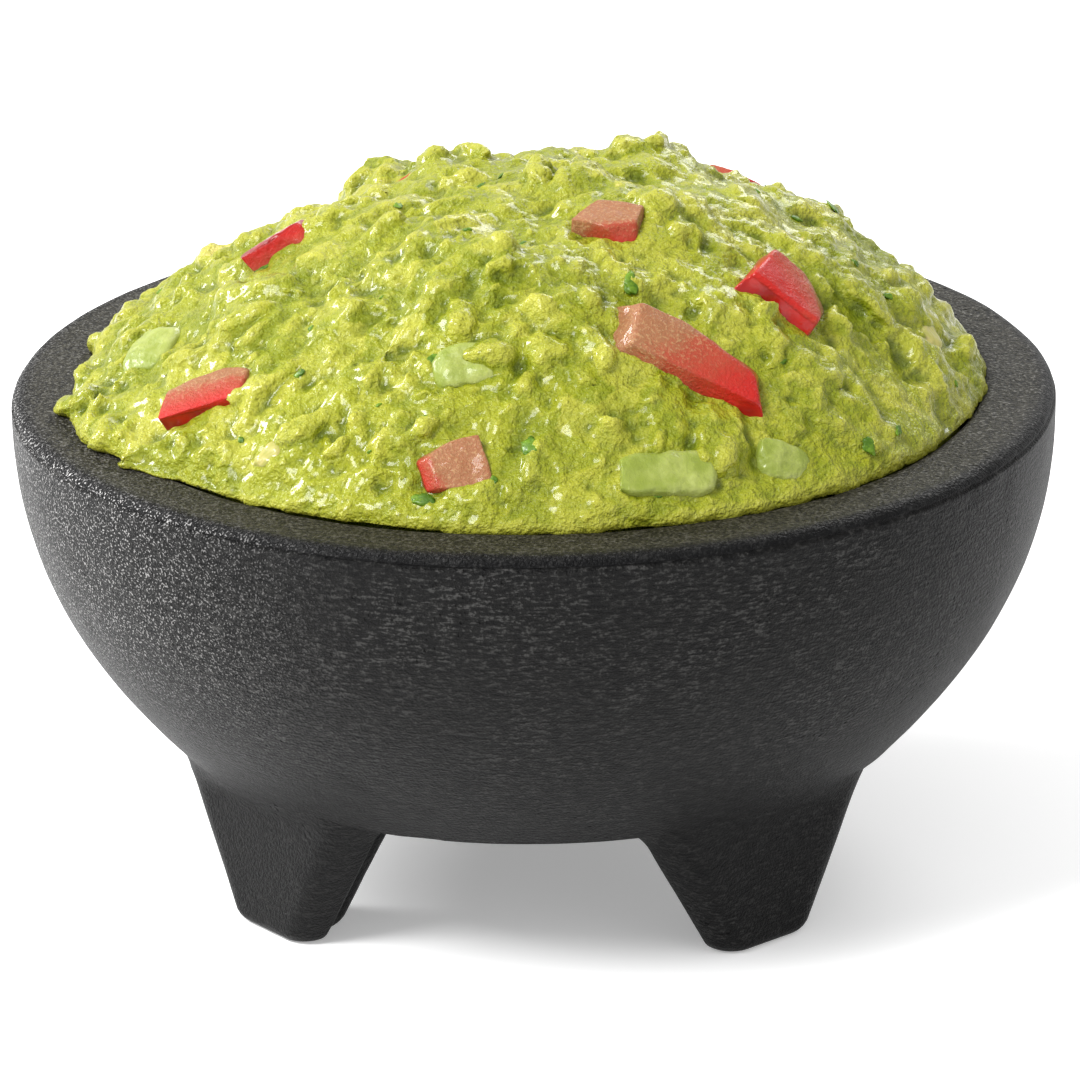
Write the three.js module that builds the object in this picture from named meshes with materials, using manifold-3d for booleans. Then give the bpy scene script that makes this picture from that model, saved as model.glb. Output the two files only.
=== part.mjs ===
// A molcajete: a thick-walled round bowl on tapered feet, filled with a heap of guacamole
// that holds diced tomato, avocado and onion. Millimetres, +Z up, the bowl's axis is Z,
// the feet stand on Z = 0 and the front of the bowl faces -Y.

import * as THREE from 'three';
import { ConvexGeometry } from 'three/addons/geometries/ConvexGeometry.js';
import { mergeVertices } from 'three/addons/utils/BufferGeometryUtils.js';
import Module from 'manifold-3d';

const wasm = await Module();
wasm.setup();

// ---------- driving sizes ----------
const rimRadius = 102;        // outer radius at the widest line of the rim
const rimLineHeight = 94.5;   // height of that line above the table
const rimEdgeRound = 3.3;     // rounding from the widest line up to the flat rim
const wallDrop = 64.8;        // fall of the outer wall from the widest line to the base edge
const baseRadius = 73.8;      // radius where the outer wall turns into the flat base
const baseEdgeRound = 1.6;    // rounding of the base edge
const basinRadius = 86.2;     // inner radius of the basin just under its rounded lip
const basinDepth = 58;        // depth of the basin below the flat rim
const basinEdgeRound = 3.5;   // rounding of the lip
const gap = 0.3;              // clearance between pieces that touch
const turns = 72;             // segments around the axis, a multiple of four

const footAzimuths = { foot_front_left: -139.5, foot_front_right: -50.5, foot_rear: 85 };
const soleSection = { inner: 55.3, outer: 70.5, innerHalf: 8.3, outerHalf: 11.2, corner: 5.7 };
const rootSection = { inner: 36.1, outer: 71.1, innerHalf: 16, outerHalf: 29.8, corner: 9 };
const rootHeight = 33.3;      // height of the foot's upper section, inside the bowl's wall
const soleBevel = 1.4;        // small chamfer around the sole

const heapEdge = 87.7;        // radius of the heap's edge, just past the lip
const heapOverhang = 5;       // extra reach of the heap's foot over the rim on the left
const overhangAzimuth = 200;
const overhangSpread = 15;
const heapPeak = { x: 13, y: -10 };
const heapEdgeHeight = 4.2;   // height of the heap's edge above the widest line
const heapLip = 5.4;          // height of the rounded lip all around the heap
const heapRise = 33.4;        // rise of the peak above that lip
const heapFlatness = 2.7;
const heapShoulder = 1.5;
const lumpSize = 1.3;         // height of the soft waves on the heap

// Larger hills and hollows that the spoon left: x, y, radius, height.
const heapFolds = [
  [-71, 26, 10, 4],
  [-42, 41, 7, -5],
  [-33, 38, 7, 4.5],
  [-19, 27, 5, 2],
  [1, 38, 7, 1.5],
  [25, 29, 11, 3.5],
  [50, 22, 9, 1],
  [79, 12, 9, 3],
];

// ---------- derived sizes ----------
const rimTopHeight = rimLineHeight + rimEdgeRound;
const baseHeight = rimLineHeight - wallDrop - 0.5;
const basinFloorHeight = rimTopHeight - basinDepth;
const heapEdgeTop = rimLineHeight + heapEdgeHeight;
const radians = THREE.MathUtils.degToRad;

// ---------- materials ----------
const finish = (color, roughness) => new THREE.MeshStandardMaterial({ color, roughness, metalness: 0 });
const fauxStone = finish('#333435', 0.72);
const avocadoMash = finish('#a9b93a', 0.35);
const pieceFinish = {
  tomato: finish('#c8372a', 0.25),
  avocado: finish('#b5c552', 0.35),
  onion: finish('#e2dc9e', 0.3),
};

// ---------- helpers ----------

// Points along an arc in the (radius, height) plane, both ends included.
function arc(centreR, centreZ, radius, fromDegrees, toDegrees, steps) {
  return Array.from({ length: steps + 1 }, (_, i) => {
    const angle = radians(fromDegrees + ((toDegrees - fromDegrees) * i) / steps);
    return new THREE.Vector2(centreR + radius * Math.cos(angle), centreZ + radius * Math.sin(angle));
  });
}

// A lathe about +Z from a profile of (radius, height) points that runs from axis to axis.
function lathe(profile) {
  return new THREE.LatheGeometry(profile, turns).rotateX(Math.PI / 2);
}

// The triangles of a geometry with its seams welded and the empty ones at the poles left out.
function weld(geometry) {
  const bare = geometry.clone();
  bare.deleteAttribute('normal');
  bare.deleteAttribute('uv');
  const merged = mergeVertices(bare, 1e-4);
  const kept = [];
  for (let i = 0; i < merged.index.count; i += 3) {
    const [a, b, c] = [0, 1, 2].map((k) => merged.index.getX(i + k));
    if (a !== b && b !== c && c !== a) kept.push(a, b, c);
  }
  merged.setIndex(kept);
  return merged;
}

function toSolid(geometry) {
  const merged = weld(geometry);
  return new wasm.Manifold(new wasm.Mesh({
    numProp: 3,
    vertProperties: new Float32Array(merged.attributes.position.array),
    triVerts: new Uint32Array(merged.index.array),
  }));
}

function toGeometry(solid) {
  const { vertProperties, triVerts } = solid.getMesh();
  const geometry = new THREE.BufferGeometry();
  geometry.setAttribute('position', new THREE.BufferAttribute(vertProperties, 3));
  geometry.setIndex(new THREE.BufferAttribute(triVerts, 1));
  geometry.computeVertexNormals();
  return geometry;
}

function namedMesh(name, geometry, material) {
  const mesh = new THREE.Mesh(geometry, material);
  mesh.name = name;
  return mesh;
}

// ---------- bowl ----------

// Outer wall from the base edge up to the widest line, moved outwards by a clearance.
function outerWall(clearance) {
  const steps = 15;
  const wall = Array.from({ length: steps + 1 }, (_, i) => {
    const angle = radians(90 - (90 * i) / steps);
    return new THREE.Vector2(
      baseRadius + clearance + (rimRadius - baseRadius) * Math.cos(angle) ** 2.056,
      rimLineHeight - clearance - wallDrop * Math.sin(angle) ** 0.879,
    );
  });
  return [
    new THREE.Vector2(0, baseHeight - clearance),
    new THREE.Vector2(baseRadius - baseEdgeRound + clearance, baseHeight - clearance),
    ...wall,
  ];
}

// Basin from the lip down to the axis, drawn in from the wall by a clearance.
function basinCurve(clearance) {
  const rimCurveDepth = basinDepth - basinEdgeRound;
  const steps = 12;
  return Array.from({ length: steps + 1 }, (_, i) => {
    const angle = radians((90 * i) / steps);
    const radius = (basinRadius - clearance) * Math.cos(angle);
    return new THREE.Vector2(
      i === steps ? 0 : radius,
      rimTopHeight - basinEdgeRound - (rimCurveDepth - clearance) * Math.sin(angle),
    );
  });
}

function bowl() {
  const lipCentre = basinRadius + basinEdgeRound;
  const lipCentreZ = rimTopHeight - basinEdgeRound;
  return lathe([
    ...outerWall(0),
    ...arc(rimRadius - rimEdgeRound, rimLineHeight, rimEdgeRound, 15, 90, 5),
    ...arc(lipCentre, lipCentreZ, basinEdgeRound, 90, 165, 5),
    ...basinCurve(0),
  ]);
}

// ---------- feet ----------

// Rounded four-sided outline of a foot at one height: narrow side inwards, wide side outwards.
function footOutline({ inner, outer, innerHalf, outerHalf, corner }, inset, height) {
  const round = corner - inset;
  const corners = [
    [outer - corner, outerHalf - corner, 0],
    [inner + corner, innerHalf - corner, 90],
    [inner + corner, corner - innerHalf, 180],
    [outer - corner, corner - outerHalf, 270],
  ];
  return corners.flatMap(([x, y, start]) =>
    arc(x, y, round, start, start + 90, 4).map((p) => new THREE.Vector3(p.x, p.y, height)));
}

function foot(azimuth, bowlBlank) {
  const hull = new ConvexGeometry([
    ...footOutline(soleSection, soleBevel, 0),
    ...footOutline(soleSection, 0, soleBevel),
    ...footOutline(rootSection, 0, rootHeight),
  ]).rotateZ(radians(azimuth));
  return toGeometry(toSolid(hull).subtract(bowlBlank));
}

// The bowl's outer shape as a full block, a clearance larger, that trims the tops of the feet.
function bowlBlankSolid() {
  const lid = new THREE.Vector2(0, rimLineHeight - gap);
  return toSolid(lathe([...outerWall(gap), lid]));
}

// ---------- heap of guacamole ----------

// Radius of the heap's edge: it spills further over the rim on the left.
function heapEdgeAt(azimuth) {
  const degrees = THREE.MathUtils.euclideanModulo(THREE.MathUtils.radToDeg(azimuth), 360);
  return heapEdge + heapOverhang * Math.exp(-(((degrees - overhangAzimuth) / overhangSpread) ** 2));
}

// Soft waves, hills and hollows on the crown, fading out towards the edge.
function lumps(x, y, spread) {
  const wave = Math.sin(x / 6.1 + 1.3) * Math.cos(y / 7.3) + 0.6 * Math.sin((x + y) / 9.7 + 0.5);
  const folds = heapFolds.map(([foldX, foldY, radius, height]) => (
    height * Math.exp(-((x - foldX) ** 2 + (y - foldY) ** 2) / radius ** 2)
  ));
  return (lumpSize * wave + folds.reduce((total, fold) => total + fold, 0)) * (1 - spread ** 4);
}

// The crown's surface point for an edge azimuth and a spread from 0 at the peak to 1 at the edge.
function crownPoint(azimuth, spread) {
  const edge = heapEdge + (heapEdgeAt(azimuth) - heapEdge) * spread ** 6;
  const x = THREE.MathUtils.lerp(heapPeak.x, edge * Math.cos(azimuth), spread);
  const y = THREE.MathUtils.lerp(heapPeak.y, edge * Math.sin(azimuth), spread);
  const lip = heapLip * Math.max(0, 1 - spread ** 9) ** 0.62;
  const rise = heapRise * Math.max(0, 1 - spread ** heapFlatness) ** heapShoulder;
  return new THREE.Vector3(x, y, heapEdgeTop + lip + rise + lumps(x, y, spread));
}

function heap() {
  const crownSteps = 14;
  const crown = Array.from({ length: crownSteps + 1 }, (_, i) => {
    const spread = Math.sin(radians(90 - (90 * i) / crownSteps));
    return new THREE.Vector2(heapEdge * (i === crownSteps ? 0 : spread), heapEdgeTop + i / crownSteps);
  });
  const profile = [
    ...basinCurve(2 * gap).reverse(),
    new THREE.Vector2(basinRadius - 2 * gap, rimTopHeight + gap),
    new THREE.Vector2(heapEdge - 0.6, rimTopHeight + gap),
    new THREE.Vector2(heapEdge, rimTopHeight + 2 * gap),
    ...crown,
  ];
  const geometry = weld(lathe(profile));
  const { position } = geometry.attributes;
  const point = new THREE.Vector3();
  for (let i = 0; i < position.count; i += 1) {
    point.fromBufferAttribute(position, i);
    const azimuth = Math.atan2(point.y, point.x);
    const radius = Math.hypot(point.x, point.y);
    if (point.z >= heapEdgeTop) {
      point.copy(crownPoint(azimuth, Math.min(1, radius / heapEdge)));
    } else if (radius > basinRadius) {
      const reach = (heapEdgeAt(azimuth) - heapEdge + radius) / radius;
      point.set(point.x * reach, point.y * reach, point.z);
    }
    position.setXYZ(i, point.x, point.y, point.z);
  }
  return geometry;
}

// ---------- pieces in the guacamole ----------

// Azimuth and spread place a piece on the crown; size is length, width, thickness; turn is its
// rotation about the surface normal; sink is how deep its middle lies under the surface.
const pieces = [
  { name: 'tomato_left', kind: 'tomato', azimuth: 214, spread: 0.85,
    size: [20, 15, 10], turn: -12, sink: 2.5 },
  { name: 'tomato_back_left', kind: 'tomato', azimuth: 180, spread: 0.61,
    size: [17, 10, 9], turn: 10, sink: 0.8 },
  { name: 'tomato_front', kind: 'tomato', azimuth: 258, spread: 0.9,
    size: [15, 12, 9], turn: 0, sink: 2.5 },
  { name: 'tomato_large', kind: 'tomato', azimuth: 294, spread: 0.68,
    size: [38, 17, 13], turn: -13, sink: 2.5 },
  { name: 'tomato_right', kind: 'tomato', azimuth: 323, spread: 0.61,
    size: [20, 17, 12], turn: -25, sink: 2.5 },
  { name: 'tomato_upper', kind: 'tomato', azimuth: 286, spread: 0.22,
    size: [14, 13, 10], turn: -30, sink: 2 },
  { name: 'tomato_crest', kind: 'tomato', azimuth: 138, spread: 0.48,
    size: [12, 8, 8], turn: 15, sink: 3.6 },
  { name: 'tomato_rear', kind: 'tomato', azimuth: 92, spread: 0.72,
    size: [20, 13, 11], turn: 25, sink: 3 },
  { name: 'tomato_rear_left', kind: 'tomato', azimuth: 133, spread: 0.8,
    size: [15, 12, 10], turn: -20, sink: 3 },
  { name: 'tomato_rear_right', kind: 'tomato', azimuth: 52, spread: 0.7,
    size: [16, 13, 10], turn: 50, sink: 2.5 },
  { name: 'tomato_far_right', kind: 'tomato', azimuth: 18, spread: 0.84,
    size: [15, 11, 9], turn: -15, sink: 2.5 },
  { name: 'avocado_front', kind: 'avocado', azimuth: 287, spread: 0.925,
    size: [19, 12, 9], turn: 5, sink: 2.5 },
  { name: 'avocado_front_right', kind: 'avocado', azimuth: 303.5, spread: 0.935,
    size: [13, 9, 8], turn: 12, sink: 2.5 },
  { name: 'avocado_middle', kind: 'avocado', azimuth: 254, spread: 0.68,
    size: [17, 12, 10], turn: 10, sink: 3 },
  { name: 'avocado_left', kind: 'avocado', azimuth: 190, spread: 0.86,
    size: [16, 13, 9], turn: 65, sink: 2.5 },
  { name: 'avocado_rear', kind: 'avocado', azimuth: 110, spread: 0.5,
    size: [17, 13, 11], turn: 30, sink: 3 },
  { name: 'avocado_rear_right', kind: 'avocado', azimuth: 66, spread: 0.84,
    size: [18, 12, 10], turn: 10, sink: 3 },
  { name: 'onion_left', kind: 'onion', azimuth: 232, spread: 0.93,
    size: [8, 6, 5], turn: 30, sink: 1 },
  { name: 'onion_right', kind: 'onion', azimuth: 350, spread: 0.86,
    size: [8, 6, 5], turn: -40, sink: 1 },
  { name: 'onion_rear', kind: 'onion', azimuth: 158, spread: 0.68,
    size: [8, 6, 5], turn: 15, sink: 1 },
];

// A hand-cut dice: a box with its corners cut off, narrower at the top, grown by a clearance.
function dice([length, width, thickness], clearance) {
  const bevel = 0.18 * thickness;
  const points = [];
  for (const side of [-1, 1]) {
    for (const end of [-1, 1]) {
      for (const level of [-1, 1]) {
        const taper = level > 0 ? 0.82 : 1;
        const corner = new THREE.Vector3(
          end * (taper * 0.5 * length + clearance),
          side * (taper * 0.5 * width + clearance),
          level * (0.5 * thickness + clearance),
        );
        points.push(new THREE.Vector3(corner.x - end * bevel, corner.y, corner.z));
        points.push(new THREE.Vector3(corner.x, corner.y - side * bevel, corner.z));
        points.push(new THREE.Vector3(corner.x, corner.y, corner.z - level * bevel));
      }
    }
  }
  return new ConvexGeometry(points);
}

// The placement that lays a piece on the crown, facing along the surface normal.
function crownPlacement({ azimuth, spread, turn, sink }) {
  const step = 0.02;
  const at = radians(azimuth);
  const point = crownPoint(at, spread);
  const outward = crownPoint(at, spread + step).sub(crownPoint(at, spread - step));
  const around = crownPoint(at + step, spread).sub(crownPoint(at - step, spread));
  const normal = outward.cross(around).normalize();
  const spin = new THREE.Quaternion().setFromAxisAngle(new THREE.Vector3(0, 0, 1), radians(turn));
  const tilt = new THREE.Quaternion().setFromUnitVectors(new THREE.Vector3(0, 0, 1), normal);
  return new THREE.Matrix4().compose(
    point.addScaledVector(normal, -sink),
    tilt.multiply(spin),
    new THREE.Vector3(1, 1, 1),
  );
}

// The heap with a fitted pocket for every piece.
function guacamole() {
  const pockets = pieces.map((piece) => toSolid(dice(piece.size, gap).applyMatrix4(crownPlacement(piece))));
  return toGeometry(pockets.reduce((body, pocket) => body.subtract(pocket), toSolid(heap())));
}

// ---------- assembly ----------

const molcajete = new THREE.Group();

const vessel = new THREE.Group();
vessel.add(namedMesh('bowl', bowl(), fauxStone));
const bowlBlank = bowlBlankSolid();
for (const [name, azimuth] of Object.entries(footAzimuths)) {
  vessel.add(namedMesh(name, foot(azimuth, bowlBlank), fauxStone));
}
molcajete.add(vessel);

const serving = new THREE.Group();
serving.add(namedMesh('guacamole', guacamole(), avocadoMash));
for (const piece of pieces) {
  const mesh = namedMesh(piece.name, dice(piece.size, 0), pieceFinish[piece.kind]);
  mesh.applyMatrix4(crownPlacement(piece));
  serving.add(mesh);
}
molcajete.add(serving);

export default molcajete;
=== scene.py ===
"""The looks of a molcajete heaped with guacamole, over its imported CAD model.

Everything is in metres in the frame of the CAD model: +Z is up, the bowl's axis is Z, the feet stand
on Z = 0 and the front of the bowl faces -Y. Sizes come from the CAD nodes' boxes.
"""

from __future__ import annotations

import logging
import math
from dataclasses import dataclass, field
from enum import Enum
from typing import Union

import bmesh
import bpy
import numpy as np
from mathutils import Matrix, Vector
from mathutils.kdtree import KDTree


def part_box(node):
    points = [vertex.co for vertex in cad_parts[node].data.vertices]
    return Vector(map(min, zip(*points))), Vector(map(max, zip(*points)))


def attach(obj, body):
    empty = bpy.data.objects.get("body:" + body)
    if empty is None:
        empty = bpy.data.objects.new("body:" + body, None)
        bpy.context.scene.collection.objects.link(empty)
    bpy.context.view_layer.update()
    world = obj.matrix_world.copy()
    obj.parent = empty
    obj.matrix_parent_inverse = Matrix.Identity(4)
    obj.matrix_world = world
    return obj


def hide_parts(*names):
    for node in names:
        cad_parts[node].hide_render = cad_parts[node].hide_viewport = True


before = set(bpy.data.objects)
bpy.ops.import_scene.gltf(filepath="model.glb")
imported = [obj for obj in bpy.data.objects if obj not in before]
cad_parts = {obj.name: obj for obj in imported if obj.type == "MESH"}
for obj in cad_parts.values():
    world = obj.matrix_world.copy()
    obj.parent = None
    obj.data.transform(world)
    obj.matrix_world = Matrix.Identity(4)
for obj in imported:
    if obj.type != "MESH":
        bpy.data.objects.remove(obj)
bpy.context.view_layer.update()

MM = 0.001
Colour = tuple[float, float, float]
Grid = np.ndarray

log = logging.getLogger("molcajete")


# ---------------------------------------------------------------- shader expressions


class Field:
    """A value socket of a material that can be used in a Python expression."""

    def __init__(self, bench: "Bench", socket: bpy.types.NodeSocket) -> None:
        """Keeps the bench that adds nodes and the socket that holds the value."""
        self.bench = bench
        self.socket = socket

    def math(self, operation: str, first: "Number", second: "Number") -> "Field":
        """Adds one Math node.

        Args:
            operation: The Math node's operation.
            first: Its first value or field.
            second: Its second value or field.

        Returns:
            The field of its result.
        """
        return self.bench.node("ShaderNodeMath", {"operation": operation}, {0: first, 1: second})

    def __add__(self, other: "Number") -> "Field":
        """Adds a field or number."""
        return self.math("ADD", self, other)

    __radd__ = __add__

    def __sub__(self, other: "Number") -> "Field":
        """Takes a field or number away."""
        return self.math("SUBTRACT", self, other)

    def __rsub__(self, other: "Number") -> "Field":
        """Takes this field away from a number."""
        return self.math("SUBTRACT", other, self)

    def __mul__(self, other: "Number") -> "Field":
        """Multiplies by a field or number."""
        return self.math("MULTIPLY", self, other)

    __rmul__ = __mul__

    def __pow__(self, other: "Number") -> "Field":
        """Raises to a power."""
        return self.math("POWER", self, other)


Number = Union[Field, float, int]
Link = Union[Field, float, int, tuple, bpy.types.NodeSocket]


class Bench:
    """Builds one material's nodes around its Principled shader."""

    def __init__(self, name: str, **constants: Link) -> None:
        """Makes the material and sets the shader's constant sockets.

        Args:
            name: The material's name.
            **constants: Shader sockets by name, with underscores for spaces.
        """
        self.material = bpy.data.materials.new(name)
        self.material.use_nodes = True
        self.tree = self.material.node_tree
        self.shader = self.tree.nodes["Principled BSDF"]
        for socket, value in constants.items():
            self.shader.inputs[socket.replace("_", " ")].default_value = value

    def node(
        self, kind: str, settings: dict[str, object], inputs: dict[Union[str, int], Link], output: int = 0
    ) -> Field:
        """Adds one node.

        Args:
            kind: The node's type.
            settings: Its properties, which are set first.
            inputs: Its sockets' values or links, by name or number.
            output: The number of the output socket that is wanted.

        Returns:
            The field of that output.
        """
        made = self.tree.nodes.new(kind)
        for name, value in settings.items():
            setattr(made, name, value)
        for key, value in inputs.items():
            self.plug(made.inputs[key], value)
        return Field(self, made.outputs[output])

    def plug(self, socket: bpy.types.NodeSocket, value: Link) -> None:
        """Links a field into a socket, or sets the socket's value."""
        if isinstance(value, Field):
            self.tree.links.new(value.socket, socket)
        elif isinstance(value, tuple) and len(value) == 3 and socket.type == "RGBA":
            socket.default_value = (*value, 1.0)
        else:
            socket.default_value = value

    def feed(self, **links: Link) -> None:
        """Feeds the shader's sockets, with underscores for spaces."""
        for name, value in links.items():
            self.plug(self.shader.inputs[name.replace("_", " ")], value)

    def place(self) -> Field:
        """The surface point in the piece's own axes."""
        return self.node("ShaderNodeTexCoord", {}, {}, output=3)

    def split(self, vector: Field) -> tuple[Field, Field, Field]:
        """The three parts of a vector field."""
        apart = self.node("ShaderNodeSeparateXYZ", {}, {0: vector})
        outputs = apart.socket.node.outputs
        return Field(self, outputs[0]), Field(self, outputs[1]), Field(self, outputs[2])

    def join(self, x: Number, y: Number, z: Number) -> Field:
        """A vector field from three parts."""
        return self.node("ShaderNodeCombineXYZ", {}, {0: x, 1: y, 2: z})

    def noise(self, at: Field, size: float, detail: float = 3.0, rough: float = 0.55) -> Field:
        """Soft noise from 0 to 1.

        Args:
            at: Where it is taken.
            size: The size of its largest features in metres.
            detail: How many finer layers it has.
            rough: How strong the finer layers are.

        Returns:
            The noise field.
        """
        inputs = {"Vector": at, "Scale": 1 / size, "Detail": detail, "Roughness": rough}
        return self.node("ShaderNodeTexNoise", {}, inputs)

    def cells(self, at: Field, size: float) -> Field:
        """Distance to the nearest of scattered points, from 0 at a point."""
        inputs = {"Vector": at, "Scale": 1 / size}
        return self.node("ShaderNodeTexVoronoi", {}, inputs)

    def step(self, value: Field, low: float, high: float) -> Field:
        """A soft step that is 0 below low and 1 above high."""
        settings = {"interpolation_type": "SMOOTHSTEP", "clamp": True}
        return self.node("ShaderNodeMapRange", settings, {"Value": value, "From Min": low, "From Max": high})

    def mix(self, share: Number, first: Union[Field, Colour], second: Union[Field, Colour]) -> Field:
        """A colour between two colours."""
        settings = {"data_type": "RGBA", "clamp_factor": True}
        return self.node("ShaderNodeMix", settings, {0: share, 6: first, 7: second}, output=2)

    def painted(self, name: str) -> Field:
        """A number that the piece's mesh carries on its vertices."""
        return self.node("ShaderNodeAttribute", {"attribute_name": name}, {}, output=2)

    def relief(self, height: Field, depth: float) -> Field:
        """A Bump node.

        Args:
            height: The height field, from 0 to 1.
            depth: The height in metres that 1 stands for.

        Returns:
            The bumped normal.
        """
        return self.node("ShaderNodeBump", {}, {"Height": height, "Distance": depth, "Strength": 1.0})


# ---------------------------------------------------------------- finishes


@dataclass(frozen=True)
class FauxStone:
    """Charcoal moulded stone: brushed round the bowl and speckled pale along the rim, with painted glints on
    the upper left and painted sheen on the flat rim's left and right.

    Attributes:
        rim_radius: Radius at the widest line of the rim.
        rim_line: Height of the widest line.
        rim_top: Height of the flat rim.
        deep: Colour between the brush streaks, of the dark rim edge and of the painted shade towards the
            bottom.
        body: Colour of the streaks.
        wear_and_sheen: Colour of wear flecks and scratches, and of the painted sheen specks on the flat rim.
        rim_tint: Green-brown tint of the flat rim.
        salt: Colour of the painted glints on the upper left, where the light grazes.
        streak_size: Width of the streaks and size of the grain.
        dust_size: Size of the fine grain that places the painted glints and adds to the relief.
        patch_size: Size of the more and less worn patches.
        pit_spacing: Distance between pits.
        bump_depth: Height of the whole relief.
    """

    rim_radius: float
    rim_line: float
    rim_top: float
    deep: Colour = (0.002, 0.002, 0.0022)
    body: Colour = (0.0085, 0.0083, 0.0079)
    wear_and_sheen: Colour = (0.20, 0.197, 0.190)
    rim_tint: Colour = (0.044, 0.040, 0.025)
    salt: Colour = (0.50, 0.49, 0.48)
    streak_size: float = 0.62 * MM
    dust_size: float = 0.42 * MM
    patch_size: float = 24 * MM
    pit_spacing: float = 2.1 * MM
    bump_depth: float = 1.1 * MM

    def build(self) -> bpy.types.Material:
        """Builds the material: brushed streaks, then wear flecks, painted shade towards the bottom, painted
        sheen on the flat rim and pale painted glints on the upper left.
        """
        bench = Bench("faux_stone", Metallic=0.0, IOR=1.48, Specular_IOR_Level=0.11)
        at = bench.place()
        x, y, z = bench.split(at)
        radius = (x * x + y * y) ** 0.5
        brushed = bench.join(x * 0.28, y * 0.28, z + radius * 0.5)
        streaks = bench.noise(brushed, self.streak_size, 3.0, 0.6)
        long_streaks = bench.noise(bench.join(x * 0.1, y * 0.1, z), 1.1 * MM, 2.0, 0.6)
        grain = bench.noise(at, self.streak_size, 2.0, 0.6)
        glint_grain = bench.noise(at, self.dust_size, 1.0, 0.5)
        patches = bench.noise(at, self.patch_size, 4.0, 0.62)
        pits = bench.step(bench.cells(at, self.pit_spacing), 0.26, 0.10) * bench.step(patches, 0.52, 0.66)

        flat_rim = bench.step(z, self.rim_top - 1.2 * MM, self.rim_top - 0.3 * MM)
        edge = bench.step(z, self.rim_line + 0.9 * MM, self.rim_line + 1.6 * MM)
        edge = edge * bench.step(radius, self.rim_radius - 5 * MM, self.rim_radius - 1.6 * MM)
        rubbed = bench.step(patches, 0.34, 0.68)
        # Painted highlight: the upper left of the wall and rim, where the light grazes, gets pale painted
        # glints and brighter specks.
        painted_glint_side = bench.step(x, -0.30 * self.rim_radius, -0.85 * self.rim_radius) * bench.step(z, 0.03, 0.075)
        # Painted sheen: brighter specks on the right of the flat rim.
        painted_sheen_right = bench.step(x, 0.45 * self.rim_radius, 0.92 * self.rim_radius)
        # Painted shade: the lower wall and the feet are darker towards the floor and carry fewer flecks.
        low = bench.step(z, 0.060, 0.022)
        fleck = bench.step(streaks * 0.6 + grain * 0.4, 0.51, 0.62)
        scratched = bench.step(patches * 0.7 + streaks * 0.3, 0.50, 0.62)
        scratch = bench.step(long_streaks, 0.62, 0.76) * scratched
        speck = bench.step(grain, 0.55, 0.70)
        wear_and_sheen = fleck * (0.07 + rubbed * 0.13 - painted_glint_side * 0.05) + scratch * 0.16
        wear_and_sheen = wear_and_sheen * (1 - flat_rim * 0.5) * (1 - edge * 0.6) * (1 - low * 0.55)
        # Specks on the flat rim: real speckle, plus painted sheen on its left and right.
        wear_and_sheen = wear_and_sheen + speck * flat_rim * (0.14 + painted_glint_side * 0.2 + painted_sheen_right * 0.45)
        # Pale painted glints on the upper left, strongest on the rim's edge and faint on the flat rim.
        painted_glint_mask = bench.step(glint_grain, 0.58, 0.67) * painted_glint_side * (0.60 + edge * 0.40) * (1 - flat_rim * 0.7)

        dark_rim = bench.mix(bench.step(grain, 0.3, 0.7), self.deep, self.rim_tint)
        colour = bench.mix(bench.step(streaks, 0.25, 0.65), self.deep, self.body)
        # Painted shade towards the bottom.
        colour = bench.mix(low * 0.55, colour, self.deep)
        colour = bench.mix(flat_rim * 0.85, colour, dark_rim)
        colour = bench.mix(edge * 0.95, colour, self.deep)
        colour = bench.mix(wear_and_sheen, colour, self.wear_and_sheen)
        colour = bench.mix(painted_glint_mask, colour, self.salt)
        height = streaks * 0.40 + grain * 0.40 + glint_grain * 0.20 + long_streaks * 0.2 - pits * 0.8
        bench.feed(
            Base_Color=colour,
            Roughness=0.32 + streaks * 0.16 + patches * 0.14,
            Normal=bench.relief(height, self.bump_depth),
        )
        return bench.material


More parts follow.
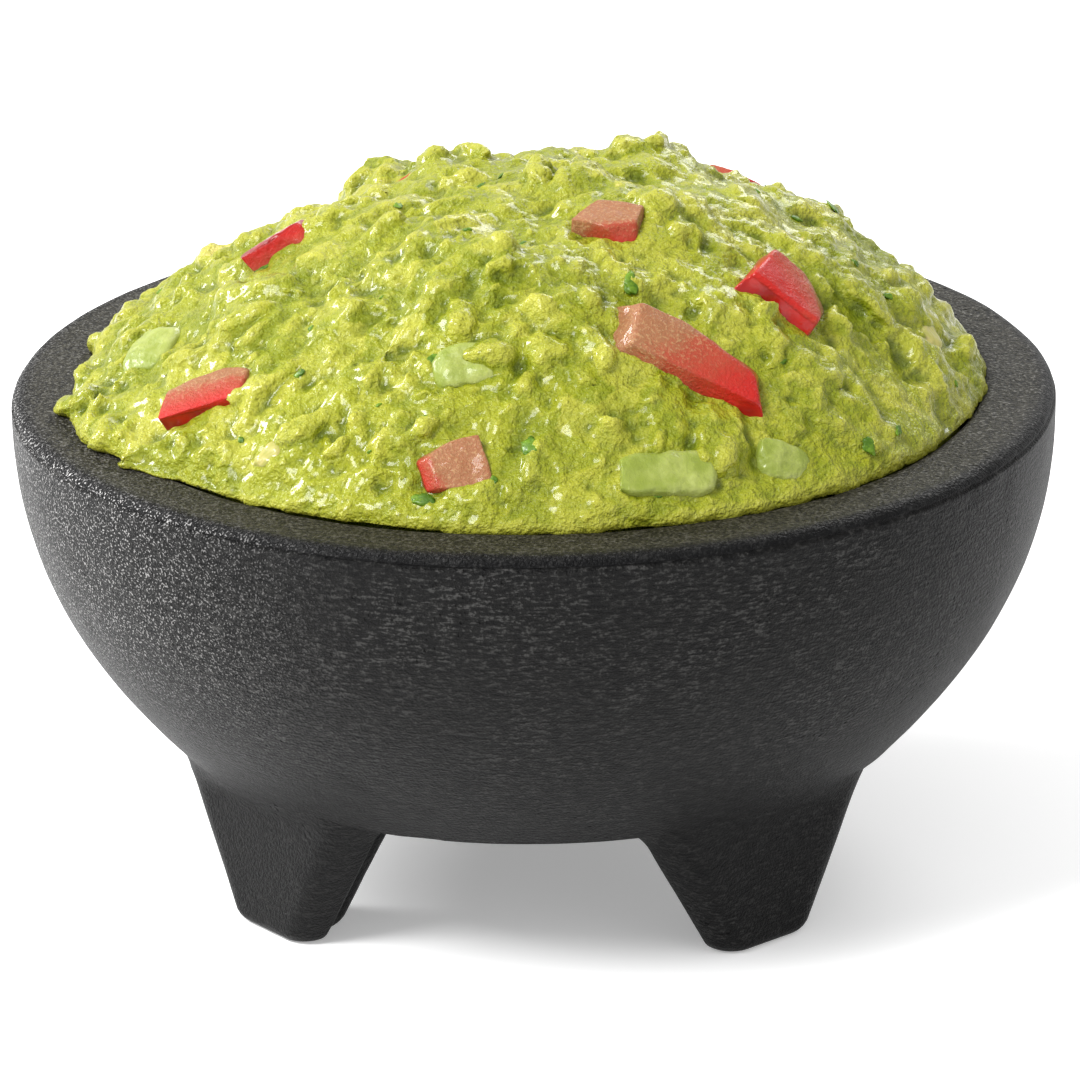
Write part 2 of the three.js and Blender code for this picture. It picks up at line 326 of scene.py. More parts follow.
@dataclass(frozen=True)
class AvocadoMash:
    """Moist mashed avocado: yellow-green lumps, painted shade of deeper green in the hollows, small wet
    glints.

    Attributes:
        painted_hollow_shade: Colour of the painted shade in the hollows.
        green: Colour of the greener flesh.
        mid: Colour of most of the flesh.
        yellow: Colour of ripe lumps, and of the painted highlight on ridges.
        cream: Colour of the few palest lumps.
        broad_size: Size of the broad changes of tone.
        clot_size: Size of the clots.
        grain_size: Size of the grain.
        fibre_size: Size of the finest threads.
        bump_depth: Height of the whole relief.
    """

    painted_hollow_shade: Colour = (0.080, 0.112, 0.002)
    green: Colour = (0.182, 0.213, 0.006)
    mid: Colour = (0.273, 0.292, 0.012)
    yellow: Colour = (0.408, 0.397, 0.050)
    cream: Colour = (0.50, 0.44, 0.12)
    broad_size: float = 20 * MM
    clot_size: float = 4 * MM
    grain_size: float = 1.5 * MM
    fibre_size: float = 0.7 * MM
    bump_depth: float = 2.5 * MM

    def build(self) -> bpy.types.Material:
        """Builds the material: each lump has its own tone, and the skin's relief gives painted shade in the
        hollows and a painted highlight on the ridges.
        """
        bench = Bench(
            "avocado_mash",
            Metallic=0.0,
            IOR=1.42,
            Specular_IOR_Level=0.24,
            Subsurface_Weight=0.22,
            Subsurface_Radius=(1.0, 0.9, 0.2),
            Subsurface_Scale=2.4 * MM,
            Coat_Roughness=0.13,
            Coat_IOR=1.36,
        )
        at = bench.place()
        relief = bench.painted("relief")
        tone = bench.painted("lump_tone")
        broad = bench.noise(at, self.broad_size, 3.0, 0.6)
        clots = bench.noise(at, self.clot_size, 4.0, 0.6)
        grain = bench.noise(at, self.grain_size, 2.0, 0.6)
        fibre = bench.noise(at, self.fibre_size, 1.0, 0.5)

        shade = bench.step(clots * 0.5 + broad * 0.5, 0.42, 0.56)
        colour = bench.mix(shade, self.green, self.mid)
        colour = bench.mix(bench.step(tone + clots * 0.5, 0.85, 1.25) * 0.6, colour, self.yellow)
        colour = bench.mix(bench.step(tone - clots * 0.3, 0.06, -0.12) * 0.55, colour, self.green)
        creamy = bench.step(tone, 0.978, 0.99) * bench.step(clots, 0.42, 0.56)
        colour = bench.mix(creamy, colour, self.cream)
        colour = bench.mix(bench.step(grain, 0.52, 0.72) * 0.35, colour, self.yellow)
        # Painted shade in the hollows of the skin's relief, and a painted highlight on its ridges.
        colour = bench.mix(bench.step(relief, 0.46, 0.10) * 0.85, colour, self.painted_hollow_shade)
        colour = bench.mix(bench.step(relief, 0.58, 0.90) * 0.55, colour, self.yellow)
        height = clots * 0.38 + grain * 0.42 + fibre * 0.20
        wet = bench.step(broad + grain * 0.3, 0.42, 0.78)
        bench.feed(
            Base_Color=colour,
            Roughness=0.44 - wet * 0.14 + fibre * 0.10,
            Coat_Weight=0.10 + wet * 0.55,
            Normal=bench.relief(height, self.bump_depth),
        )
        return bench.material


@dataclass(frozen=True)
class TomatoFlesh:
    """Diced tomato: glossy red skin that turns to pale grainy flesh on the cut faces."""

    skin: Colour = (0.40, 0.009, 0.005)
    deep: Colour = (0.22, 0.005, 0.005)
    flesh: Colour = (0.32, 0.046, 0.020)
    pale: Colour = (0.28, 0.115, 0.050)
    core: Colour = (0.47, 0.30, 0.145)
    cell_size: float = 0.6 * MM
    vein_size: float = 3.2 * MM
    bump_depth: float = 0.55 * MM

    def build(self) -> bpy.types.Material:
        """Builds the material: red skin, then flesh that pales with the depth under the skin."""
        bench = Bench(
            "tomato",
            Metallic=0.0,
            IOR=1.40,
            Specular_IOR_Level=0.3,
            Subsurface_Weight=0.12,
            Subsurface_Radius=(1.0, 0.22, 0.12),
            Subsurface_Scale=1.6 * MM,
            Coat_Roughness=0.06,
            Coat_IOR=1.33,
        )
        at = bench.place()
        skin = bench.painted("skin")
        depth = bench.painted("depth")
        cells = bench.noise(at, self.cell_size, 2.0, 0.7)
        veins = bench.noise(at, self.vein_size, 3.0, 0.6)
        broad = bench.noise(at, 7 * MM, 2.0, 0.5)

        inward = depth + (veins - 0.5) * 0.30 + (cells - 0.5) * 0.16
        flesh = bench.mix(bench.step(inward, 0.10, 0.50), self.skin, self.flesh)
        flesh = bench.mix(bench.step(inward, 0.50, 0.72), flesh, self.pale)
        grainy = bench.step(cells, 0.50, 0.66) * bench.step(inward, 0.3, 0.7) * 0.45
        flesh = bench.mix(grainy, flesh, self.core)
        red = bench.mix(bench.step(broad, 0.35, 0.7), self.deep, self.skin)
        colour = bench.mix(skin, flesh, red)
        height = cells * (1 - skin) * 0.6 + veins * 0.4
        bench.feed(
            Base_Color=colour,
            Roughness=0.42 - skin * 0.16 + cells * 0.10,
            Coat_Weight=0.35 + skin * 0.45,
            Normal=bench.relief(height, self.bump_depth),
        )
        return bench.material


@dataclass(frozen=True)
class AvocadoFlesh:
    """A smooth cut chunk of avocado, pale with a greener side."""

    pale: Colour = (0.330, 0.370, 0.090)
    green: Colour = (0.205, 0.255, 0.028)
    crack_size: float = 2.4 * MM
    bump_depth: float = 0.5 * MM

    def build(self) -> bpy.types.Material:
        """Builds the material: a broad change of tone under fine cracks and a moist film."""
        bench = Bench(
            "avocado_chunk",
            Metallic=0.0,
            IOR=1.42,
            Subsurface_Weight=0.25,
            Subsurface_Radius=(0.9, 1.0, 0.25),
            Subsurface_Scale=2.2 * MM,
            Coat_Roughness=0.12,
            Coat_IOR=1.34,
        )
        at = bench.place()
        broad = bench.noise(at, 9 * MM, 3.0, 0.5)
        cracks = bench.noise(at, self.crack_size, 4.0, 0.7)
        film = bench.noise(at, 0.9 * MM, 2.0, 0.6)
        colour = bench.mix(bench.step(broad, 0.36, 0.62), self.green, self.pale)
        colour = bench.mix(bench.step(cracks, 0.45, 0.30) * 0.6, colour, self.green)
        bench.feed(
            Base_Color=colour,
            Roughness=0.36 + film * 0.2,
            Coat_Weight=0.3 + bench.step(cracks, 0.4, 0.7) * 0.4,
            Normal=bench.relief(cracks * 0.7 + film * 0.3, self.bump_depth),
        )
        return bench.material


@dataclass(frozen=True)
class OnionFlesh:
    """A moist, half clear cream bit of onion with fine ribs."""

    cream: Colour = (0.44, 0.38, 0.12)
    glassy: Colour = (0.33, 0.33, 0.07)
    rib_spacing: float = 1.0 * MM

    def build(self) -> bpy.types.Material:
        """Builds the material: ribs drawn out along the piece, cream between glassy ones."""
        bench = Bench(
            "onion",
            Metallic=0.0,
            IOR=1.38,
            Subsurface_Weight=0.35,
            Subsurface_Radius=(1.0, 0.9, 0.5),
            Subsurface_Scale=2.0 * MM,
            Coat_Roughness=0.08,
        )
        at = bench.place()
        x, y, z = bench.split(at)
        ribs = bench.noise(bench.join(x * 0.25, y * 1.5, z), self.rib_spacing, 2.0, 0.5)
        film = bench.noise(at, 3 * MM, 2.0, 0.6)
        bench.feed(
            Base_Color=bench.mix(bench.step(ribs * 0.6 + film * 0.4, 0.35, 0.65), self.glassy, self.cream),
            Roughness=0.28 + film * 0.14,
            Coat_Weight=0.4 + film * 0.3,
            Normal=bench.relief(ribs, 0.2 * MM),
        )
        return bench.material


@dataclass(frozen=True)
class HerbLeaf:
    """Chopped green leaf and chilli skin."""

    dark: Colour = (0.045, 0.110, 0.002)
    bright: Colour = (0.115, 0.215, 0.006)

    def build(self) -> bpy.types.Material:
        """Builds the material: two greens in blotches, with faint veins."""
        bench = Bench(
            "herb_leaf",
            Metallic=0.0,
            IOR=1.42,
            Specular_IOR_Level=0.3,
            Coat_Weight=0.15,
            Coat_Roughness=0.12,
        )
        at = bench.place()
        blotch = bench.noise(at, 4 * MM, 3.0, 0.6)
        vein = bench.noise(at, 0.5 * MM, 2.0, 0.6)
        bench.feed(
            Base_Color=bench.mix(bench.step(blotch + vein * 0.3, 0.5, 0.8), self.dark, self.bright),
            Roughness=0.35 + vein * 0.2,
            Normal=bench.relief(vein, 0.15 * MM),
        )
        return bench.material


@dataclass(frozen=True)
class PaleFloor:
    """A plain off-white studio floor."""

    white: Colour = (0.93, 0.93, 0.93)
    off_white: Colour = (0.90, 0.90, 0.90)
    glow: float = 0.28
    mottle_size: float = 0.3

    def build(self) -> bpy.types.Material:
        """Builds the material, which glows a little so that the floor stays pale."""
        bench = Bench(
            "pale_floor",
            Metallic=0.0,
            Roughness=0.75,
            Specular_IOR_Level=0.1,
            Emission_Color=(1.0, 1.0, 1.0, 1.0),
            Emission_Strength=self.glow,
        )
        mottle = bench.noise(bench.place(), self.mottle_size, 2.0, 0.5)
        bench.feed(Base_Color=bench.mix(mottle * 0.1, self.white, self.off_white))
        return bench.material


# ---------------------------------------------------------------- mesh tools


class LatticeNoise:
    """Smooth noise from -1 to 1 in three dimensions, from a seeded lattice of random numbers."""

    def __init__(self, seed: int, cells: int = 48) -> None:
        """Fills the lattice."""
        self.cells = cells
        self.table = np.random.default_rng(seed).uniform(-1, 1, (cells, cells, cells))

    def at(self, points: Grid, size: float) -> Grid:
        """The noise at each point.

        Args:
            points: Points, one in each row.
            size: The spacing of the lattice in the points' unit.

        Returns:
            One number for each point.
        """
        scaled = points / size
        cell = np.floor(scaled).astype(int)
        part = scaled - cell
        part = part * part * (3 - 2 * part)
        total = np.zeros(len(points))
        for corner in np.ndindex(2, 2, 2):
            weight = np.prod(np.where(np.array(corner) == 1, part, 1 - part), axis=1)
            index = (cell + corner) % self.cells
            total += weight * self.table[index[:, 0], index[:, 1], index[:, 2]]
        return total

    def layered(self, points: Grid, size: float, layers: int = 3, gain: float = 0.5) -> Grid:
        """Several layers of noise, each at half the size and turned against the one before.

        Args:
            points: Points, one in each row.
            size: The spacing of the coarsest lattice.
            layers: How many layers are added.
            gain: How strong each layer is beside the one before.

        Returns:
            One number for each point.
        """
        turn = np.array(Matrix.Rotation(0.9, 3, Vector((1, 2, 3))))
        total = np.zeros(len(points))
        for layer in range(layers):
            total += gain**layer * self.at(points, size / 2**layer)
            points = points @ turn.T + 0.37 * size
        return total


def smooth_step(value: Grid, low: float, high: float) -> Grid:
    """A soft step that is 0 below low and 1 above high."""
    part = np.clip((value - low) / (high - low), 0, 1)
    return part * part * (3 - 2 * part)


def unit(vectors: Grid) -> Grid:
    """The same vectors at a length of one."""
    return vectors / np.maximum(np.linalg.norm(vectors, axis=-1, keepdims=True), 1e-12)


def arc(centre_r: float, centre_z: float, radius: float, start: float, end: float, steps: int) -> Grid:
    """Points along an arc in the (radius, height) plane, with angles in degrees and both ends."""
    angle = np.radians(np.linspace(start, end, steps + 1))
    return np.stack([centre_r + radius * np.cos(angle), centre_z + radius * np.sin(angle)], axis=1)


def ring_faces(rings: int, count: int) -> list[tuple[int, ...]]:
    """Four-sided faces between closed rings that follow one another in the vertex list."""
    faces = []
    for ring in range(rings - 1):
        low, high = ring * count, (ring + 1) * count
        for i in range(count):
            j = (i + 1) % count
            faces.append((low + i, low + j, high + j, high + i))
    return faces


def solid_piece(name: str, points: Grid, faces: list[tuple[int, ...]]) -> bpy.types.Object:
    """Makes a smooth-shaded object from points and faces."""
    mesh = bpy.data.meshes.new(name)
    mesh.from_pydata(points.tolist(), [], faces)
    mesh.polygons.foreach_set("use_smooth", [True] * len(mesh.polygons))
    mesh.update()
    made = bpy.data.objects.new(name, mesh)
    bpy.context.scene.collection.objects.link(made)
    return made


def vertex_grid(mesh: bpy.types.Mesh, what: str = "co") -> Grid:
    """The places or normals of a mesh's vertices, one in each row."""
    flat = np.empty(len(mesh.vertices) * 3, dtype=np.float32)
    mesh.vertices.foreach_get(what, flat)
    return flat.reshape(-1, 3).astype(float)


def move_vertices(mesh: bpy.types.Mesh, points: Grid) -> None:
    """Puts a mesh's vertices in new places."""
    mesh.vertices.foreach_set("co", points.astype(np.float32).ravel())
    mesh.update()


def paint(mesh: bpy.types.Mesh, name: str, values: Grid) -> None:
    """Stores one number for each vertex, for the material to read."""
    layer = mesh.attributes.new(name, "FLOAT", "POINT")
    layer.data.foreach_set("value", values.astype(np.float32))


def evened(points: Grid, edges: Grid, rounds: int, share: float = 0.5) -> Grid:
    """Moves each vertex towards the middle of its neighbours.

    Args:
        points: The vertices' places.
        edges: Pairs of vertex numbers.
        rounds: How many times it is done.
        share: How far a vertex moves each time.

    Returns:
        The new places.
    """
    count = np.bincount(edges.ravel(), minlength=len(points))[:, None]
    for _ in range(rounds):
        total = np.zeros_like(points)
        for axis in range(3):
            total[:, axis] += np.bincount(edges[:, 0], points[edges[:, 1], axis], len(points))
            total[:, axis] += np.bincount(edges[:, 1], points[edges[:, 0], axis], len(points))
        points = points + share * (total / np.maximum(count, 1) - points)
    return points


def dress(piece: bpy.types.Object, material: bpy.types.Material, body: str) -> None:
    """Gives a piece its finish and the body it moves with."""
    piece.data.materials.clear()
    piece.data.materials.append(material)
    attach(piece, body)


# ---------------------------------------------------------------- the vessel


class FootPlace(Enum):
    """The three feet, by CAD node name, with the direction from the axis in degrees."""

    foot_front_left = -139.5
    foot_front_right = -50.5
    foot_rear = 85.0


@dataclass(frozen=True)
class FootSection:
    """A rounded four-sided section through a foot, narrow towards the bowl's axis."""

    inner: float
    outer: float
    inner_half: float
    outer_half: float
    corner: float

    def outline(self, inset: float = 0.0) -> Grid:
        """The section's outline, anticlockwise from its outer side.

        Args:
            inset: How far the outline is drawn in.

        Returns:
            Points in the section's plane, x pointing away from the bowl's axis.
        """
        low, high = self.inner + self.corner, self.outer - self.corner
        corners = [
            (high, self.outer_half - self.corner, 0),
            (low, self.inner_half - self.corner, 90),
            (low, self.corner - self.inner_half, 180),
            (high, self.corner - self.outer_half, 270),
        ]
        arcs = [arc(x, y, self.corner - inset, start, start + 90, 10) for x, y, start in corners]
        sides = []
        for here, there in zip(arcs, arcs[1:] + arcs[:1]):
            between = np.linspace(0, 1, 12)[1:-1, None]
            sides.extend([here, here[-1] + (there[0] - here[-1]) * between])
        return np.concatenate(sides)


@dataclass
class Vessel:
    """The moulded bowl with its feet.

    Attributes:
        rim_radius: Radius at the widest line of the rim.
        rim_top: Height of the flat rim.
        base_height: Height of the flat base.
        basin_share: Basin radius beside the rim's radius.
        base_share: Base radius beside the rim's radius.
        depth_share: Basin depth beside the rim's radius.
        wall_crowding: Power that crowds the wall's rings towards its widest line.
        wall_belly: Power that sets how soon the wall swells out.
        wall_rise: Power that sets how soon it climbs.
        edge_round: Radius of the rim's outer edge.
        lip_round: Radius of the rim's inner edge.
        crease_depth: Depth of the faint line round the edge.
        crease_width: Its width.
        crease_lift: Its height above the widest line.
        wave_depth: Depth of the hand-finished waves.
        wave_size: Their size.
        dent_depth: Depth of the small dents.
        dent_size: Their size.
        dented_patch: Size of the patches that have dents.
        sole: The foot's section at the table.
        root: The foot's section at the bowl.
        root_height: Height of the root section.
        sole_round: Radius of the sole's edge.
        fillet: Radius of the fillet into the bowl.
        face_fillet: Extra reach of the fillet on the foot's outer face.
        fillet_sink: How far the fillet's end goes into the bowl.
        noise: The noise of the waves and dents.
    """

    rim_radius: float
    rim_top: float
    base_height: float
    basin_share: float = 0.845
    base_share: float = 0.7235
    depth_share: float = 0.5686
    wall_crowding: float = 1.15
    wall_belly: float = 2.056
    wall_rise: float = 0.879
    edge_round: float = 3.3 * MM
    lip_round: float = 3.5 * MM
    crease_depth: float = 0.40 * MM
    crease_width: float = 0.30 * MM
    crease_lift: float = 1.1 * MM
    wave_depth: float = 0.10 * MM
    wave_size: float = 14 * MM
    dent_depth: float = 0.22 * MM
    dent_size: float = 5 * MM
    dented_patch: float = 30 * MM
    sole: FootSection = FootSection(55.3 * MM, 70.5 * MM, 8.3 * MM, 11.2 * MM, 5.7 * MM)
    root: FootSection = FootSection(36.1 * MM, 71.1 * MM, 16 * MM, 29.8 * MM, 9 * MM)
    root_height: float = 33.3 * MM
    sole_round: float = 2.3 * MM
    fillet: float = 5.0 * MM
    face_fillet: float = 3.6 * MM
    fillet_sink: float = 0.35 * MM
    noise: LatticeNoise = field(default_factory=lambda: LatticeNoise(11))

    @classmethod
    def from_frame(cls) -> "Vessel":
        """Takes the bowl's sizes from its CAD node."""
        low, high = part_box("bowl")
        return cls(rim_radius=high.x, rim_top=high.z, base_height=low.z)

    @property
    def rim_line(self) -> float:
        """Height of the widest line of the rim."""
        return self.rim_top - self.edge_round

    @property
    def basin_radius(self) -> float:
        """Radius of the basin just under the lip."""
        return self.basin_share * self.rim_radius

    @property
    def base_radius(self) -> float:
        """Radius where the wall turns into the base."""
        return self.base_share * self.rim_radius

    @property
    def basin_depth(self) -> float:
        """Depth of the basin below the rim."""
        return self.depth_share * self.rim_radius

    def wall(self, steps: int) -> Grid:
        """The outer wall from the base up to the widest line."""
        angle = np.radians(90 * (1 - np.linspace(0, 1, steps) ** self.wall_crowding))
        drop = self.rim_line - self.base_height - 0.5 * MM
        spread = self.rim_radius - self.base_radius
        radius = self.base_radius + spread * np.cos(angle) ** self.wall_belly
        return np.stack([radius, self.rim_line - drop * np.sin(angle) ** self.wall_rise], axis=1)

    def basin(self, steps: int, inset: float = 0.0) -> Grid:
        """The basin from under the lip down to the axis, drawn in by an inset."""
        angle = np.radians(np.linspace(0, 90, steps))
        depth = self.basin_depth - self.lip_round - inset
        height = self.rim_top - self.lip_round - depth * np.sin(angle)
        return np.stack([(self.basin_radius - inset) * np.cos(angle), height], axis=1)

    def lip_height(self, radius: Grid) -> Grid:
        """Height of the rounded lip, or of the flat rim outside it."""
        inwards = np.clip(self.basin_radius + self.lip_round - radius, 0, self.lip_round)
        return self.rim_top - self.lip_round + np.sqrt(self.lip_round**2 - inwards**2)

    def profile(self) -> Grid:
        """The bowl's whole profile, from the middle of the base to the middle of the basin."""
        base = np.stack([np.linspace(0.0, self.base_radius - 1.6 * MM, 16), np.full(16, self.base_height)], 1)
        outer = arc(self.rim_radius - self.edge_round, self.rim_line, self.edge_round, 0, 90, 44)[1:]
        crease = np.exp(-(((outer[:, 1] - self.rim_line - self.crease_lift) / self.crease_width) ** 2))
        outer[:, 0] -= self.crease_depth * crease
        lip_centre = self.basin_radius + self.lip_round
        flat = np.linspace(self.rim_radius - self.edge_round, lip_centre, 10)[1:-1]
        top = np.stack([flat, np.full(len(flat), self.rim_top)], axis=1)
        lip = arc(lip_centre, self.rim_top - self.lip_round, self.lip_round, 90, 180, 10)
        return np.concatenate([base, self.wall(64), outer, top, lip, self.basin(44)[1:]])

    def underside(self, radius: Grid) -> Grid:
        """Height of the bowl's outer skin at a radius under the base edge and just outside it."""
        wall = self.wall(160)
        return np.interp(radius, wall[:, 0], wall[:, 1], left=self.base_height)

    def build_bowl(self, stone: bpy.types.Material) -> bpy.types.Object:
        """Builds the bowl: a smooth revolved wall with slight hand-finished unevenness."""
        turns = 384
        profile = self.profile()
        inner = profile[1:-1]
        angle = np.radians(np.linspace(0, 360, turns, endpoint=False))
        around = np.stack([np.cos(angle), np.sin(angle)], axis=1)
        rings = np.concatenate(
            [np.column_stack([around * radius, np.full(turns, height)]) for radius, height in inner]
        )
        ends = np.array([[0, 0, profile[0, 1]], [0, 0, profile[-1, 1]]])
        points = np.concatenate([rings, ends])
        faces = ring_faces(len(inner), turns)
        first, last = len(rings), len(rings) + 1
        top_ring = (len(inner) - 1) * turns
        for i in range(turns):
            j = (i + 1) % turns
            faces.append((first, j, i))
            faces.append((last, top_ring + i, top_ring + j))
        piece = solid_piece("molcajete_bowl", points, faces)
        self.roughen(piece)
        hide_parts("bowl")
        dress(piece, stone, "vessel")
        return piece

    def roughen(self, piece: bpy.types.Object) -> None:
        """Presses shallow waves and dents into a stone surface, inwards only."""
        points = vertex_grid(piece.data)
        normals = vertex_grid(piece.data, "normal")
        waves = self.noise.layered(points, self.wave_size, 3)
        dents = smooth_step(self.noise.at(points + 0.05, self.dent_size), 0.35, 0.9)
        patch = smooth_step(self.noise.at(points + 0.11, self.dented_patch), 0.05, 0.5)
        depth = self.wave_depth * (waves + 1) + self.dent_depth * dents * patch
        depth *= smooth_step(points[:, 2], 0.5 * MM, 9 * MM)
        move_vertices(piece.data, points - normals * depth[:, None])

    def build_foot(self, place: FootPlace, stone: bpy.types.Material) -> bpy.types.Object:
        """Builds one foot: a flat sole, straight tapered sides and a fillet into the bowl.

        Args:
            place: Which foot it is.
            stone: Its finish.

        Returns:
            The foot.
        """
        sole, root = self.sole.outline(), self.root.outline()
        count = len(sole)
        rings = []
        flat_sole = self.sole.outline(self.sole_round)
        centre = flat_sole.mean(axis=0)
        for share in np.linspace(0.12, 1, 7)[:-1]:
            rings.append(np.column_stack([centre + (flat_sole - centre) * share, np.zeros(count)]))
        for angle in np.radians(np.linspace(0, 80, 6)):
            inset = self.sole_round * (1 - math.sin(angle))
            height = self.sole_round * (1 - math.cos(angle))
            flat = self.sole.outline(inset) + (root - sole) * height / self.root_height
            rings.append(np.column_stack([flat, np.full(count, height)]))
        top = self.base_height - self.fillet
        for height in np.linspace(self.sole_round, top, 26):
            share = height / self.root_height
            rings.append(np.column_stack([sole + (root - sole) * share, np.full(count, height)]))
        rings.extend(self.fillet_rings(rings[-1][:, :2], (root - sole) / self.root_height))
        points = np.concatenate([*rings, [[*rings[0][:, :2].mean(axis=0), 0.0]]])
        faces = ring_faces(len(rings), count)
        faces.extend((len(points) - 1, (i + 1) % count, i) for i in range(count))
        piece = solid_piece(f"molcajete_{place.name}", points, faces)
        piece.data.transform(Matrix.Rotation(math.radians(place.value), 4, "Z"))
        self.roughen(piece)
        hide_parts(place.name)
        dress(piece, stone, "vessel")
        return piece

    def fillet_rings(self, outline: Grid, slope: Grid) -> list[Grid]:
        """Rings that carry a foot's sides up into the bowl.

        Args:
            outline: The foot's outline where the fillet starts.
            slope: How far each point of the outline moves for each metre of height.

        Returns:
            The rings, ending just inside the bowl's skin.
        """
        ahead, behind = np.roll(outline, -1, axis=0), np.roll(outline, 1, axis=0)
        along = unit(ahead - behind)
        outward = np.stack([along[:, 1], -along[:, 0]], axis=1)
        room = smooth_step(self.base_radius - np.linalg.norm(outline, axis=1), 1.5 * MM, 9 * MM)
        face = outward[:, 0].clip(0, 1) ** 6 * smooth_step(-np.abs(outline[:, 1]), -26 * MM, -6 * MM)
        reach = 0.4 * MM + self.fillet * room[:, None] + self.face_fillet * face[:, None]
        rings = []
        for angle in np.radians(np.linspace(0, 90, 11)[1:]):
            share = math.sin(angle)
            rise = self.fillet * share
            flat = outline + slope * rise + outward * reach * (1 - math.cos(angle))
            skin = self.underside(np.linalg.norm(flat, axis=1))
            height = self.base_height - self.fillet + rise + (skin - self.base_height) * share
            rings.append(np.column_stack([flat, height + self.fillet_sink * share**4]))
        return rings


# ---------------------------------------------------------------- the guacamole


@dataclass(frozen=True)
class PulledPeak:
    """A lump that the spoon pulled up out of the heap, seen from above at x and y."""

    x: float
    y: float
    length: float
    width: float
    height: float
    lean: float = 0.0


@dataclass(frozen=True)
class Fold:
    """A broad swell or hollow of the heap, in millimetres: where it is, how wide and how high."""

    x: float
    y: float
    radius: float
    height: float


@dataclass(frozen=True)
class LumpKind:
    """One size class of lumps that are pressed into the heap's surface.

    Attributes:
        count: How many are tried.
        smallest: Size of the smallest.
        largest: Size of the largest.
        proud: Usual height above the crown.
        stretch: Longest length beside the width.
        facets: How finely each is divided.
    """

    count: int
    smallest: float
    largest: float
    proud: float
    stretch: float
    facets: int


@dataclass(frozen=True)
class LumpHabit:
    """How lumps of every size lie in the heap.

    Attributes:
        reach: Share of the heap's area that has lumps.
        small_bias: Power that makes small lumps more common than large ones.
        piece_gap: Share of a lump's size that it keeps off a cut piece.
        edge_gap: Share of a lump's size that it keeps off the heap's edge.
        spill_side: Lumps left of this may hang over the rim.
        held_side: Lumps right of this stand less proud close to the edge.
        held_share: How much less.
        proud_range: Least and most of the class's proud height.
        calm_share: How much the spoon presses a lump down.
        turn_spread: How far a lump turns from straight uphill, in radians.
        flat_range: Least and most thickness beside the size.
        dent_scales: Spacings of the coarse and fine dents.
        dent_depths: Depths of the coarse and fine dents, as shares of the radius.
    """

    reach: float = 0.985
    small_bias: float = 1.8
    piece_gap: float = 0.18
    edge_gap: float = 0.32
    spill_side: float = -62 * MM
    held_side: float = -55 * MM
    held_share: float = 0.75
    proud_range: tuple[float, float] = (0.2, 1.6)
    calm_share: float = 0.55
    turn_spread: float = 0.5
    flat_range: tuple[float, float] = (0.42, 0.8)
    dent_scales: tuple[float, float] = (1.6, 3.6)
    dent_depths: tuple[float, float] = (0.40, 0.18)


@dataclass
class CrownFrame:
    """Surface points of the crown with their normals and the directions up and round the heap."""

    points: Grid
    normals: Grid
    uphill: Grid
    sideways: Grid


